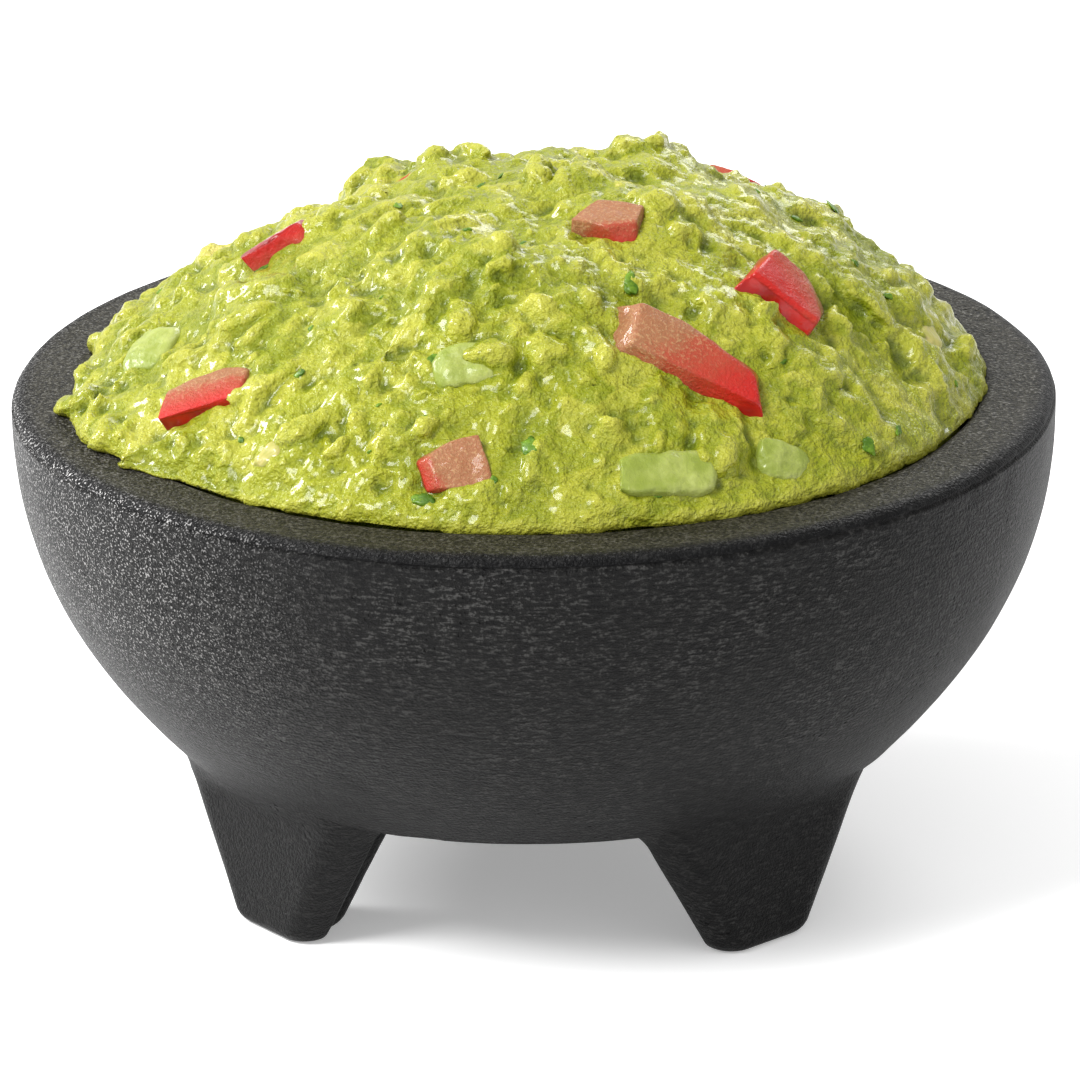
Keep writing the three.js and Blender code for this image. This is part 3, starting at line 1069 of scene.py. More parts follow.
@dataclass
class Heap:
    """The heap of guacamole: a smooth crown in the CAD model's shape, covered in soft lumps.

    Attributes:
        vessel: The bowl that it fills.
        peak: The top of the crown in plan.
        edge_share: Edge radius beside the rim's radius.
        overhang: How much further the edge reaches where it spills over the rim.
        overhang_azimuth: Where it spills, in degrees.
        overhang_spread: How wide the spill is, in degrees.
        edge_height: Height of the edge above the rim line.
        lip: Height that the crown gains close to its edge.
        rise: Height that it gains on the way to the peak.
        edge_onset: Power that keeps the spill close to the edge.
        lip_reach: Power that keeps the lip close to the edge.
        lip_fullness: Power that rounds the lip.
        rise_reach: Power that widens the top of the rise.
        rise_fullness: Power that hollows the foot of the rise.
        wave_height: Height of the low waves over the crown.
        wave_lengths: Their lengths along x, y and the diagonal, in millimetres for one radian.
        folds: The broad swells and hollows.
        core_depth: Depth of the core below the rim.
        neck_gap: Gap between the core's neck and the basin.
        neck_margin: Gap between the finished skin and the basin.
        skirt_depth: Depth to which the finished skin goes down.
        basin_gap: Gap between the pressed underside and the basin.
        tuck_reach: Most that a point below the rim counts for in the tuck.
        tuck_share: How far such a point is tucked in for each metre below the rim.
        rim_margin: Width of rim that always stays clear.
        rim_clearance: Gap between the skin and the rim.
        voxel: Grain of the skin that joins the lumps.
        relief_range: Height range that the colour reads from painted shade in hollows to a painted highlight
            on ridges.
        broad_size: Size of the broad unevenness.
        broad_relief: Its height.
        clot_size: Size of the clots.
        clot_relief: Their height.
        pit_size: Size of the pits.
        pit_depth: Their depth.
        stroke_relief: Height of the spoon strokes.
        stroke_sizes: Their length, width and spacing in height.
        smooth_side: How far to the right the spoon has smoothed the heap fully.
        stroke_along: Direction of the strokes.
        stroke_across: Direction across them.
        kinds: The size classes of lumps.
        peaks: The larger lumps.
        habit: How lumps of every size lie.
        seed: Start of the random numbers.
        noise: The noise that makes everything uneven.
    """

    vessel: Vessel
    peak: tuple[float, float] = (13 * MM, -10 * MM)
    edge_share: float = 0.86
    overhang: float = 5 * MM
    overhang_azimuth: float = 200.0
    overhang_spread: float = 15.0
    edge_height: float = 4.2 * MM
    lip: float = 5.4 * MM
    rise: float = 33.4 * MM
    edge_onset: float = 6
    lip_reach: float = 9
    lip_fullness: float = 0.62
    rise_reach: float = 2.7
    rise_fullness: float = 1.5
    wave_height: float = 1.3 * MM
    wave_lengths: tuple[float, float, float] = (6.1, 7.3, 9.7)
    folds: tuple[Fold, ...] = (
        Fold(-71, 26, 10, 4),
        Fold(-42, 41, 7, -5),
        Fold(-33, 38, 7, 4.5),
        Fold(-19, 27, 5, 2),
        Fold(1, 38, 7, 1.5),
        Fold(25, 29, 11, 3.5),
        Fold(50, 22, 9, 1),
        Fold(79, 12, 9, 3),
    )
    core_depth: float = 6 * MM
    neck_gap: float = 0.9 * MM
    neck_margin: float = 0.2 * MM
    skirt_depth: float = 5.4 * MM
    basin_gap: float = 1.2 * MM
    tuck_reach: float = 3 * MM
    tuck_share: float = 0.9
    rim_margin: float = 5 * MM
    rim_clearance: float = 0.12 * MM
    voxel: float = 0.79 * MM
    relief_range: float = 2.2 * MM
    broad_size: float = 15 * MM
    broad_relief: float = 0.9 * MM
    clot_size: float = 6 * MM
    clot_relief: float = 0.85 * MM
    pit_size: float = 3.2 * MM
    pit_depth: float = 0.45 * MM
    stroke_relief: float = 0.55 * MM
    stroke_sizes: tuple[float, float, float] = (16 * MM, 3 * MM, 5 * MM)
    smooth_side: float = 70 * MM
    stroke_along: tuple[float, float, float] = (0.78, -0.45, -0.30)
    stroke_across: tuple[float, float, float] = (0.45, 0.85, 0.25)
    kinds: tuple[LumpKind, ...] = (
        LumpKind(150, 8.0 * MM, 17.0 * MM, 2.2 * MM, 1.9, 4),
        LumpKind(420, 3.4 * MM, 8.0 * MM, 1.7 * MM, 1.9, 3),
        LumpKind(1700, 1.2 * MM, 3.2 * MM, 1.0 * MM, 1.6, 2),
    )
    peaks: tuple[PulledPeak, ...] = (
        PulledPeak(20 * MM, 12 * MM, 16 * MM, 12 * MM, 2.6 * MM),
        PulledPeak(-34 * MM, 34 * MM, 9 * MM, 7 * MM, 2.0 * MM),
        PulledPeak(-19 * MM, 24 * MM, 7 * MM, 6 * MM, 2.6 * MM),
        PulledPeak(2 * MM, 0 * MM, 8 * MM, 5 * MM, 3.5 * MM),
        PulledPeak(-6 * MM, -34 * MM, 6 * MM, 4 * MM, 3.2 * MM, 0.4),
        PulledPeak(44 * MM, -44 * MM, 6 * MM, 3.5 * MM, 3.6 * MM, 0.5),
        PulledPeak(53 * MM, -55 * MM, 4 * MM, 3 * MM, 3.4 * MM, 0.3),
        PulledPeak(14 * MM, -73 * MM, 7 * MM, 5 * MM, 3.0 * MM),
        PulledPeak(-8 * MM, -60 * MM, 9 * MM, 6 * MM, 3.0 * MM),
        PulledPeak(-82 * MM, -20 * MM, 10 * MM, 8 * MM, 3.5 * MM),
        PulledPeak(83 * MM, -8 * MM, 7 * MM, 4 * MM, 3.6 * MM, 0.8),
        PulledPeak(-48 * MM, 34 * MM, 8 * MM, 5 * MM, 3.6 * MM),
        PulledPeak(30 * MM, 46 * MM, 9 * MM, 6 * MM, 4.0 * MM),
        PulledPeak(-14 * MM, 58 * MM, 7 * MM, 6 * MM, 3.5 * MM),
    )
    habit: LumpHabit = LumpHabit()
    seed: int = 5
    noise: LatticeNoise = field(default_factory=lambda: LatticeNoise(23))

    def __post_init__(self) -> None:
        self.random = np.random.default_rng(self.seed)

    @property
    def edge_radius(self) -> float:
        """Radius of the heap's edge, just past the lip of the basin."""
        return self.edge_share * self.vessel.rim_radius

    @property
    def edge_top(self) -> float:
        """Height of the heap's edge."""
        return self.vessel.rim_line + self.edge_height

    def edge_at(self, azimuth: Grid) -> Grid:
        """Radius of the heap's edge: it spills further over the rim on the left."""
        away = (np.degrees(azimuth) % 360 - self.overhang_azimuth) / self.overhang_spread
        return self.edge_radius + self.overhang * np.exp(-(away**2))

    def crown(self, azimuth: Grid, spread: Grid) -> Grid:
        """Points of the smooth crown.

        Args:
            azimuth: Direction of the edge point, in radians.
            spread: Share of the way from the peak to that edge point.

        Returns:
            One point in each row.
        """
        edge = self.edge_radius + (self.edge_at(azimuth) - self.edge_radius) * spread**self.edge_onset
        x = self.peak[0] + (edge * np.cos(azimuth) - self.peak[0]) * spread
        y = self.peak[1] + (edge * np.sin(azimuth) - self.peak[1]) * spread
        lip = self.lip * np.clip(1 - spread**self.lip_reach, 0, 1) ** self.lip_fullness
        rise = self.rise * np.clip(1 - spread**self.rise_reach, 0, 1) ** self.rise_fullness
        long_x, long_y, slanting = self.wave_lengths
        wave = np.sin(x / MM / long_x + 1.3) * np.cos(y / MM / long_y)
        waves = self.wave_height * (wave + 0.6 * np.sin((x + y) / MM / slanting + 0.5))
        for fold in self.folds:
            away = ((x / MM - fold.x) ** 2 + (y / MM - fold.y) ** 2) / fold.radius**2
            waves = waves + fold.height * MM * np.exp(-away)
        return np.stack([x, y, self.edge_top + lip + rise + waves * (1 - spread**4)], axis=1)

    def crown_frame(self, azimuth: Grid, spread: Grid) -> CrownFrame:
        """The crown's points with their directions."""
        step = 0.01
        points = self.crown(azimuth, spread)
        outward = self.crown(azimuth, np.clip(spread + step, 0, 0.995)) - self.crown(azimuth, spread - step)
        around = self.crown(azimuth + step, spread) - self.crown(azimuth - step, spread)
        normals = unit(np.cross(outward, around))
        uphill = unit(-outward)
        return CrownFrame(points, normals, uphill, np.cross(normals, uphill))

    def locate(self, x: Grid, y: Grid) -> tuple[Grid, Grid]:
        """The azimuth and spread of the crown's point over a place in plan."""
        away = np.stack([x - self.peak[0], y - self.peak[1]], axis=1)
        start = np.array(self.peak)
        square = (away**2).sum(axis=1)
        along = away @ start
        reach = (-along + np.sqrt(along**2 + square * (self.edge_radius**2 - start @ start))) / square
        meet = start + away * reach[:, None]
        return np.arctan2(meet[:, 1], meet[:, 0]), 1 / reach

    def core(self) -> tuple[Grid, Grid]:
        """The heap without its lumps, closed by a flat bottom inside the basin."""
        turns = 256
        azimuth = np.linspace(0, 2 * np.pi, turns, endpoint=False)
        around = np.stack([np.cos(azimuth), np.sin(azimuth)], axis=1)
        neck, top = self.vessel.basin_radius - self.neck_gap, self.vessel.rim_top
        edge = self.edge_at(azimuth)
        bottom = -self.core_depth
        skirt = [(neck * 0.5, bottom), (neck, bottom), (neck + 0.8 * MM, bottom + 1 * MM)]
        rings = [np.column_stack([around * radius, np.full(turns, top + lift)]) for radius, lift in skirt]
        rings.append(np.column_stack([around * edge[:, None], np.full(turns, top - 2.5 * MM)]))
        for share in np.linspace(0, 90, 60)[:-1]:
            spread = np.full(turns, math.cos(math.radians(share)))
            rings.append(self.crown(azimuth, spread))
        points = np.concatenate([*rings, [[0, 0, top + bottom]], self.crown(np.zeros(1), np.zeros(1))])
        quads = np.array(ring_faces(len(rings), turns))
        here = np.arange(turns)
        there = (here + 1) % turns
        low, high = len(points) - 2, len(points) - 1
        last = (len(rings) - 1) * turns
        fans = [
            np.column_stack([np.full(turns, low), there, here]),
            np.column_stack([np.full(turns, high), last + here, last + there]),
        ]
        return points, np.concatenate([quads[:, [0, 1, 2]], quads[:, [0, 2, 3]], *fans])

    def lumps(self, kind: LumpKind, keep_clear: list["CutPlace"]) -> tuple[Grid, Grid, Grid]:
        """One size class of lumps.

        Args:
            kind: The size class.
            keep_clear: Pieces whose tops stay uncovered.

        Returns:
            The lumps' points, their triangles and their centres.
        """
        habit = self.habit
        spread = np.sqrt(self.random.uniform(0.0, habit.reach, kind.count))
        azimuth = self.random.uniform(0, 2 * np.pi, kind.count)
        at = self.crown_frame(azimuth, spread)
        share = self.random.random(kind.count) ** habit.small_bias
        size = kind.smallest + (kind.largest - kind.smallest) * share
        free = np.ones(kind.count, dtype=bool)
        for place in keep_clear:
            free &= ~place.covers(at.points, habit.piece_gap * size)
        spills = at.points[:, 0] < habit.spill_side
        free &= ((1 - spread) * self.edge_radius > habit.edge_gap * size) | spills
        calm = self.smoothed(at.points)
        near_edge = smooth_step(spread, 0.90, 0.99) * (at.points[:, 0] > habit.held_side)
        held = 1 - habit.held_share * near_edge
        proud = kind.proud * self.random.uniform(*habit.proud_range, kind.count)
        proud = proud * (1 - habit.calm_share * calm) * held
        stretch = self.random.uniform(1.0, kind.stretch, kind.count)
        turn = self.random.normal(0, habit.turn_spread, kind.count) + 0.5 * np.pi * calm
        along = at.uphill * np.cos(turn)[:, None] + at.sideways * np.sin(turn)[:, None]
        across = np.cross(at.normals, along)
        flatness = self.random.uniform(*habit.flat_range, kind.count)
        radii = np.stack([size * stretch, size / stretch**0.5, size * flatness], axis=1) * 0.5
        centres = at.points + at.normals * (proud - radii[:, 2])[:, None]
        frames = np.stack([along, across, at.normals], axis=1)
        return self.ellipsoids(centres[free], radii[free], frames[free], kind.facets)

    def pulled(self) -> tuple[Grid, Grid, Grid]:
        """The larger lumps that stand up out of the heap."""
        x = np.array([peak.x for peak in self.peaks])
        y = np.array([peak.y for peak in self.peaks])
        azimuth, spread = self.locate(x, y)
        at = self.crown_frame(azimuth, np.minimum(spread, 0.97))
        lean = np.array([peak.lean for peak in self.peaks])[:, None]
        upright = unit(at.normals + np.array([0, 0, 1.0]) + lean * at.sideways)
        along = unit(np.cross(upright, at.uphill))
        across = np.cross(upright, along)
        radii = np.array([[peak.length, peak.width, peak.height * 2.4] for peak in self.peaks]) * 0.5
        height = np.array([peak.height for peak in self.peaks])
        centres = at.points + upright * (height - radii[:, 2])[:, None]
        return self.ellipsoids(centres, radii, np.stack([along, across, upright], axis=1), 3)

    def ellipsoids(self, centres: Grid, radii: Grid, frames: Grid, facets: int) -> tuple[Grid, Grid, Grid]:
        """Many uneven blobs at once.

        Args:
            centres: Their centres.
            radii: Their three half sizes.
            frames: Their three axes.
            facets: How finely each is divided.

        Returns:
            Their points, their triangles and their centres.
        """
        form = BallForm.of(facets)
        count, corners = len(centres), len(form.points)
        apart = 7.3 * np.arange(count)[:, None, None]
        uneven = np.ones(count * corners)
        for scale, depth in zip(self.habit.dent_scales, self.habit.dent_depths):
            uneven += depth * self.noise.at((form.points[None] * scale + apart).reshape(-1, 3), 1.0)
        uneven = uneven.reshape(count, corners, 1)
        local = form.points[None] * radii[:, None, :] * uneven
        points = np.einsum("nvk,nkj->nvj", local, frames) + centres[:, None, :]
        triangles = form.triangles[None] + corners * np.arange(count)[:, None, None]
        return points.reshape(-1, 3), triangles.reshape(-1, 3), centres

    def build(self, mash: bpy.types.Material, keep_clear: list["CutPlace"]) -> bpy.types.Object:
        """Builds the heap as one skin over the core, the lumps and the pulled peaks.

        Args:
            mash: Its finish.
            keep_clear: Pieces whose tops stay uncovered.

        Returns:
            The heap.
        """
        parts = [(*self.core(), np.empty((0, 3))), self.pulled()]
        parts.extend(self.lumps(kind, keep_clear) for kind in self.kinds)
        skin = self.one_skin([(points, triangles) for points, triangles, _ in parts])
        points, quads = self.trimmed(skin)
        sides = [quads[:, pair] for pair in ([0, 1], [1, 2], [2, 3], [3, 0])]
        edges = np.unique(np.sort(np.concatenate(sides)), axis=0)
        points = evened(points, edges, 2, 0.45)
        under_points, under_quads = self.underside()
        faces = np.concatenate([quads, under_quads + len(points)])
        crown_count = len(points)
        piece = solid_piece("guacamole_heap", np.concatenate([points, under_points]), faces.tolist())
        self.grain(piece, crown_count)
        soft = evened(vertex_grid(piece.data), edges, 34)
        lift = vertex_grid(piece.data) - soft
        # The relief is the skin's height over a smoothed copy; the mash turns it into painted shade in
        # hollows and a painted highlight on ridges.
        relief = 0.5 + (lift * vertex_grid(piece.data, "normal")).sum(axis=1) / self.relief_range
        relief[crown_count:] = 0.5
        paint(piece.data, "relief", np.clip(relief, 0, 1))
        centres = np.concatenate([centres for _, _, centres in parts[1:4]])
        paint(piece.data, "lump_tone", self.tones(piece, centres))
        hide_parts("guacamole")
        dress(piece, mash, "serving")
        return piece

    def one_skin(self, parts: list[tuple[Grid, Grid]]) -> bpy.types.Mesh:
        """Joins closed bodies into one skin of even four-sided faces."""
        mesh = bpy.data.meshes.new("blobs")
        points = np.concatenate([points for points, _ in parts])
        offsets = np.cumsum([0] + [len(points) for points, _ in parts])
        triangles = np.concatenate([tris + start for (_, tris), start in zip(parts, offsets)])
        mesh.vertices.add(len(points))
        mesh.vertices.foreach_set("co", points.astype(np.float32).ravel())
        mesh.loops.add(triangles.size)
        mesh.loops.foreach_set("vertex_index", triangles.astype(np.int32).ravel())
        mesh.polygons.add(len(triangles))
        mesh.polygons.foreach_set("loop_start", np.arange(0, triangles.size, 3, dtype=np.int32))
        mesh.update(calc_edges=True)
        blobs = bpy.data.objects.new("blobs", mesh)
        bpy.context.scene.collection.objects.link(blobs)
        remesh = blobs.modifiers.new("skin", "REMESH")
        remesh.mode = "VOXEL"
        remesh.voxel_size = self.voxel
        skin = bpy.data.meshes.new_from_object(blobs.evaluated_get(bpy.context.evaluated_depsgraph_get()))
        bpy.data.objects.remove(blobs)
        bpy.data.meshes.remove(mesh)
        return skin

    def trimmed(self, skin: bpy.types.Mesh) -> tuple[Grid, Grid]:
        """The skin without its flat bottom, kept off the rim and inside the basin."""
        points = vertex_grid(skin)
        quads = np.empty(len(skin.loops), dtype=np.int32)
        skin.loops.foreach_get("vertex_index", quads)
        quads = quads.reshape(-1, 4)
        top = self.vessel.rim_top
        shown = (points[quads][:, :, 2] > top - self.skirt_depth).any(axis=1)
        quads = quads[shown]
        used = np.unique(quads)
        renumber = np.zeros(len(points), dtype=np.int64)
        renumber[used] = np.arange(len(used))
        points = points[used]
        radius = np.linalg.norm(points[:, :2], axis=1)
        neck = self.vessel.basin_radius - self.neck_margin
        over_lip = radius > neck
        floor = self.vessel.lip_height(radius) + self.rim_clearance
        sunk = np.where(over_lip, np.clip(floor - points[:, 2], 0, self.tuck_reach), 0)
        points[over_lip, 2] = np.maximum(points[over_lip, 2], floor[over_lip])
        points[:, :2] *= (1 - self.tuck_share * sunk / np.maximum(radius, 1e-6))[:, None]
        limit = np.where(over_lip, self.vessel.rim_radius - self.rim_margin, neck)
        points[:, :2] *= np.minimum(1, limit / np.maximum(radius, 1e-6))[:, None]
        return points, renumber[quads]

    def grain(self, piece: bpy.types.Object, crown_count: int) -> None:
        """Adds the fine clots and pits of mashed flesh along the skin's normals."""
        points, normals = vertex_grid(piece.data), vertex_grid(piece.data, "normal")
        clots = self.noise.layered(points, self.clot_size, 4, 0.62)
        broad = self.noise.layered(points + 0.2, self.broad_size, 2, 0.5)
        pits = smooth_step(self.noise.at(points + 0.3, self.pit_size), 0.35, 0.9)
        calm = 0.65 * self.smoothed(points)
        depth = self.broad_relief * broad + self.clot_relief * clots * (1 - 0.5 * calm)
        depth -= self.pit_depth * pits * (1 - calm)
        depth += self.stroke_relief * self.noise.layered(self.strokes(points), 1.0, 3, 0.6) * calm
        depth[crown_count:] = np.minimum(depth[crown_count:], 0)
        floor = self.vessel.lip_height(np.linalg.norm(points[:, :2], axis=1))
        near_rim = smooth_step(points[:, 2] - floor, 0.2 * MM, 1.4 * MM)
        near_rim[crown_count:] = 1.0
        depth = np.where(depth < 0, depth * near_rim, depth)
        move_vertices(piece.data, points + normals * depth[:, None])

    def smoothed(self, points: Grid) -> Grid:
        """How much the spoon has smoothed the surface: most on the right, in broad patches."""
        patches = self.noise.at(points + 0.7, 26 * MM)
        return smooth_step(points[:, 0] / self.smooth_side + 0.9 * patches, 0.0, 1.0)

    def strokes(self, points: Grid) -> Grid:
        """Places for noise that is drawn out along the spoon's strokes, down to the right."""
        along = points @ np.array(self.stroke_along)
        across = points @ np.array(self.stroke_across)
        return np.stack([along, across, points[:, 2]], axis=1) / np.array(self.stroke_sizes)

    def underside(self) -> tuple[Grid, Grid]:
        """The pressed underside that fills the basin, seen when the serving is lifted out."""
        turns = 160
        profile = self.vessel.basin(34, self.basin_gap)[::-1][1:]
        profile = profile[profile[:, 1] < self.vessel.rim_top - 2 * MM]
        angle = np.linspace(0, 2 * np.pi, turns, endpoint=False)
        around = np.stack([np.cos(angle), np.sin(angle)], axis=1)
        rings = [np.column_stack([around * radius, np.full(turns, height)]) for radius, height in profile]
        return np.concatenate(rings), np.array(ring_faces(len(rings), turns))

    def tones(self, piece: bpy.types.Object, centres: Grid) -> Grid:
        """One random number from 0 to 1 for each lump, carried by the skin nearest to it."""
        tree = KDTree(len(centres))
        for index, centre in enumerate(centres):
            tree.insert(centre, index)
        tree.balance()
        tone = self.random.random(len(centres))
        points = vertex_grid(piece.data)
        wander = np.stack([self.noise.at(points + shift, 3 * MM) for shift in (0.2, 0.4, 0.6)], axis=1)
        tone[: len(self.peaks) + self.kinds[0].count] *= 0.97
        return np.array([tone[tree.find(point)[1]] for point in points + wander * 0.8 * MM])


@dataclass(frozen=True)
class BallForm:
    """The points and triangles of a round ball, shared by all lumps of one fineness."""

    points: Grid
    triangles: Grid

    @classmethod
    def of(cls, facets: int) -> "BallForm":
        """Divides a ball as finely as asked."""
        form = bmesh.new()
        bmesh.ops.create_icosphere(form, subdivisions=facets, radius=1.0)
        points = np.array([vertex.co[:] for vertex in form.verts])
        triangles = np.array([[vertex.index for vertex in face.verts] for face in form.faces])
        form.free()
        return cls(points, triangles)


# ---------------------------------------------------------------- pieces in the guacamole


@dataclass
class CutPlace:
    """Where a cut piece lies, read from its CAD solid: its middle, its axes and its sizes."""

    centre: Grid
    axes: Grid
    size: Grid

    @classmethod
    def from_node(cls, name: str, middle: Grid) -> "CutPlace":
        """Reads a piece's place.

        Args:
            name: The CAD node.
            middle: A point inside the heap, which the piece faces away from.

        Returns:
            The place, with axes along the piece's length, width and thickness in its rows.
        """
        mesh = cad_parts[name].data
        points = np.unique(vertex_grid(mesh).round(7), axis=0)
        outward = unit(points.mean(axis=0) - middle)
        area: dict[tuple[float, ...], float] = {}
        for face in mesh.polygons:
            if Vector(outward).dot(face.normal) > 0.55:
                key = tuple(round(part, 2) for part in face.normal)
                area[key] = area.get(key, 0.0) + face.area
        up = unit(np.array(max(area, key=area.get)))
        flat = points - points.mean(axis=0)
        flat = flat - np.outer(flat @ up, up)
        _, vectors = np.linalg.eigh(flat.T @ flat)
        along = vectors[:, 2]
        along = along if along @ np.array([1.0, 0.2, 0.1]) > 0 else -along
        axes = np.stack([along, np.cross(up, along), up])
        low, high = (points @ axes.T).min(axis=0), (points @ axes.T).max(axis=0)
        return cls(((low + high) / 2) @ axes, axes, high - low)

    def covers(self, points: Grid, margin: Grid) -> Grid:
        """Which points lie over the piece, once their own margin is added."""
        local = np.abs((points - self.centre) @ self.axes.T)
        over = local < (self.size * 0.38)[None] + margin[:, None]
        return over[:, 0] & over[:, 1] & (local[:, 2] < 12 * MM)

    def matrix(self) -> Matrix:
        """The placement of a piece that is modelled about its own middle."""
        made = Matrix(self.axes.T.tolist()).to_4x4()
        made.translation = Vector(self.centre)
        return made


@dataclass(frozen=True)
class CutHabit:
    """How a kind of piece is cut.

    Attributes:
        crispness: How sharp its edges are.
        unevenness: How far its faces wave.
        taper: How much it narrows towards its top.
        lean: How far its sides lean out of square.
        corner_near: How close to the middle a cut-off corner may come.
    """

    crispness: float
    unevenness: float
    taper: float
    lean: float
    corner_near: float


class CutKind(Enum):
    """What a piece is cut from."""

    tomato = CutHabit(26.0, 0.22 * MM, 0.10, 0.20, 1.02)
    avocado = CutHabit(6.0, 0.35 * MM, 0.06, 0.30, 0.95)
    onion = CutHabit(4.5, 0.35 * MM, 0.05, 0.30, 0.95)


@dataclass(frozen=True)
class PieceLook:
    """The side of a piece that has the skin, in its own axes, its pulp's depth and its narrowing."""

    x: float
    y: float
    z: float
    pulp: float = 1.0
    narrowing: float = 0.0


@dataclass
class CutPiece:
    """One piece of tomato, avocado or onion, bounded by uneven knife cuts."""

    name: str
    kind: CutKind
    place: CutPlace
    look: PieceLook
    seed: int = 1
    fineness: int = 44
    bump_size: float = 3.5 * MM

    def build(self, finish: bpy.types.Material) -> bpy.types.Object:
        """Builds the piece about its own middle and lays it in its place."""
        form = bmesh.new()
        bmesh.ops.create_cube(form, size=2.0)
        bmesh.ops.subdivide_edges(form, edges=form.edges, cuts=self.fineness, use_grid_fill=True)
        mesh = bpy.data.meshes.new(f"{self.name}_piece")
        form.to_mesh(mesh)
        form.free()
        mesh.polygons.foreach_set("use_smooth", [True] * len(mesh.polygons))
        directions, cuts = self.cuts()
        shape = self.carved(vertex_grid(mesh), directions, cuts)
        noise = LatticeNoise(self.seed + 100, 24)
        points = shape * self.place.size / 2
        bumps = noise.layered(points, self.bump_size, 3) * self.kind.value.unevenness
        move_vertices(mesh, points + unit(shape) * bumps[:, None])
        if self.kind is CutKind.tomato:
            self.paint_skin(mesh, shape, directions, cuts)
        piece = bpy.data.objects.new(f"{self.name}_piece", mesh)
        bpy.context.scene.collection.objects.link(piece)
        piece.matrix_world = self.place.matrix()
        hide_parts(self.name)
        dress(piece, finish, "serving")
        return piece

    def cuts(self) -> tuple[Grid, Grid]:
        """The knife cuts in a block of half size one: their directions and distances."""
        random = np.random.default_rng(self.seed)
        sides = np.concatenate([np.eye(3), -np.eye(3)])
        habit = self.kind.value
        sides = unit(sides + random.uniform(-habit.lean, habit.lean, (6, 3)))
        corners = unit(random.choice([-1.0, 1.0], (3, 3)) * random.uniform(0.35, 1.0, (3, 3)))
        side_distances = random.uniform(0.86, 0.98, 6)
        distances = np.concatenate([side_distances, random.uniform(habit.corner_near, 1.25, 3)])
        return np.concatenate([sides, corners]), distances

    def carved(self, block: Grid, directions: Grid, distances: Grid) -> Grid:
        """Draws a block's points in to the knife cuts, with slightly rounded edges.

        Args:
            block: Points on the faces of a block of half size one.
            directions: The cuts' outward directions.
            distances: The cuts' distances from the middle.

        Returns:
            The points on the cut shape.
        """
        habit = self.kind.value
        rays = unit(block)
        reach = (np.maximum(rays @ directions.T, 0) / distances) ** habit.crispness
        shape = rays / reach.sum(axis=1, keepdims=True) ** (1 / habit.crispness)
        shape[:, :2] *= 1 - habit.taper * (shape[:, 2:] + 1)
        shape[:, 1] *= 1 - self.look.narrowing * (shape[:, 0] + 1)
        return np.clip(shape, -1, 1)

    def paint_skin(self, mesh: bpy.types.Mesh, shape: Grid, directions: Grid, distances: Grid) -> None:
        """Stores where a tomato piece shows skin, and how deep each point lies under the skin."""
        towards = unit(np.array([self.look.x, self.look.y, self.look.z]))
        facing = directions @ towards
        best = int(np.argmax(facing))
        held = (shape @ directions.T) / distances
        rest = np.delete(held, best, axis=1).max(axis=1)
        paint(mesh, "skin", smooth_step(held[:, best] - rest, -0.05, 0.03))
        paint(mesh, "depth", np.clip((1 - shape @ towards) * 0.5, 0, 1) * self.look.pulp)


@dataclass
class Garnish:
    """All the cut pieces, with the side on which each tomato piece shows its skin."""

    heap: Heap
    looks: dict[str, PieceLook] = field(
        default_factory=lambda: {
            "tomato_large": PieceLook(1.0, -0.4, 0.0, 1.15, 0.17),
            "tomato_right": PieceLook(-0.3, -0.7, 0.5, 1.2, 0.05),
            "tomato_left": PieceLook(0.1, -1.0, 0.1, 1.3, 0.08),
            "tomato_back_left": PieceLook(0.2, 0.2, 1.0, 0.8),
            "tomato_front": PieceLook(-0.9, -0.3, -0.1, 1.8, -0.04),
            "tomato_upper": PieceLook(0.4, -0.8, -0.3, 1.5, 0.06),
        }
    )
    usual_look: PieceLook = PieceLook(0.5, -0.5, 0.6)
    facing_depth: float = 25 * MM

    def places(self) -> dict[str, CutPlace]:
        """Every cut piece's place, by CAD node name."""
        middle = np.array([0, 0, self.heap.vessel.rim_line - self.facing_depth])
        names = [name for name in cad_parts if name.split("_")[0] in CutKind.__members__]
        return {name: CutPlace.from_node(name, middle) for name in sorted(names)}

    def build(self, places: dict[str, CutPlace], finishes: dict[str, bpy.types.Material]) -> None:
        """Builds every cut piece."""
        for seed, (name, place) in enumerate(places.items()):
            kind = CutKind[name.split("_")[0]]
            piece = CutPiece(name, kind, place, self.looks.get(name, self.usual_look), seed)
            piece.build(finishes[kind.name])
            log.info("%s", name)


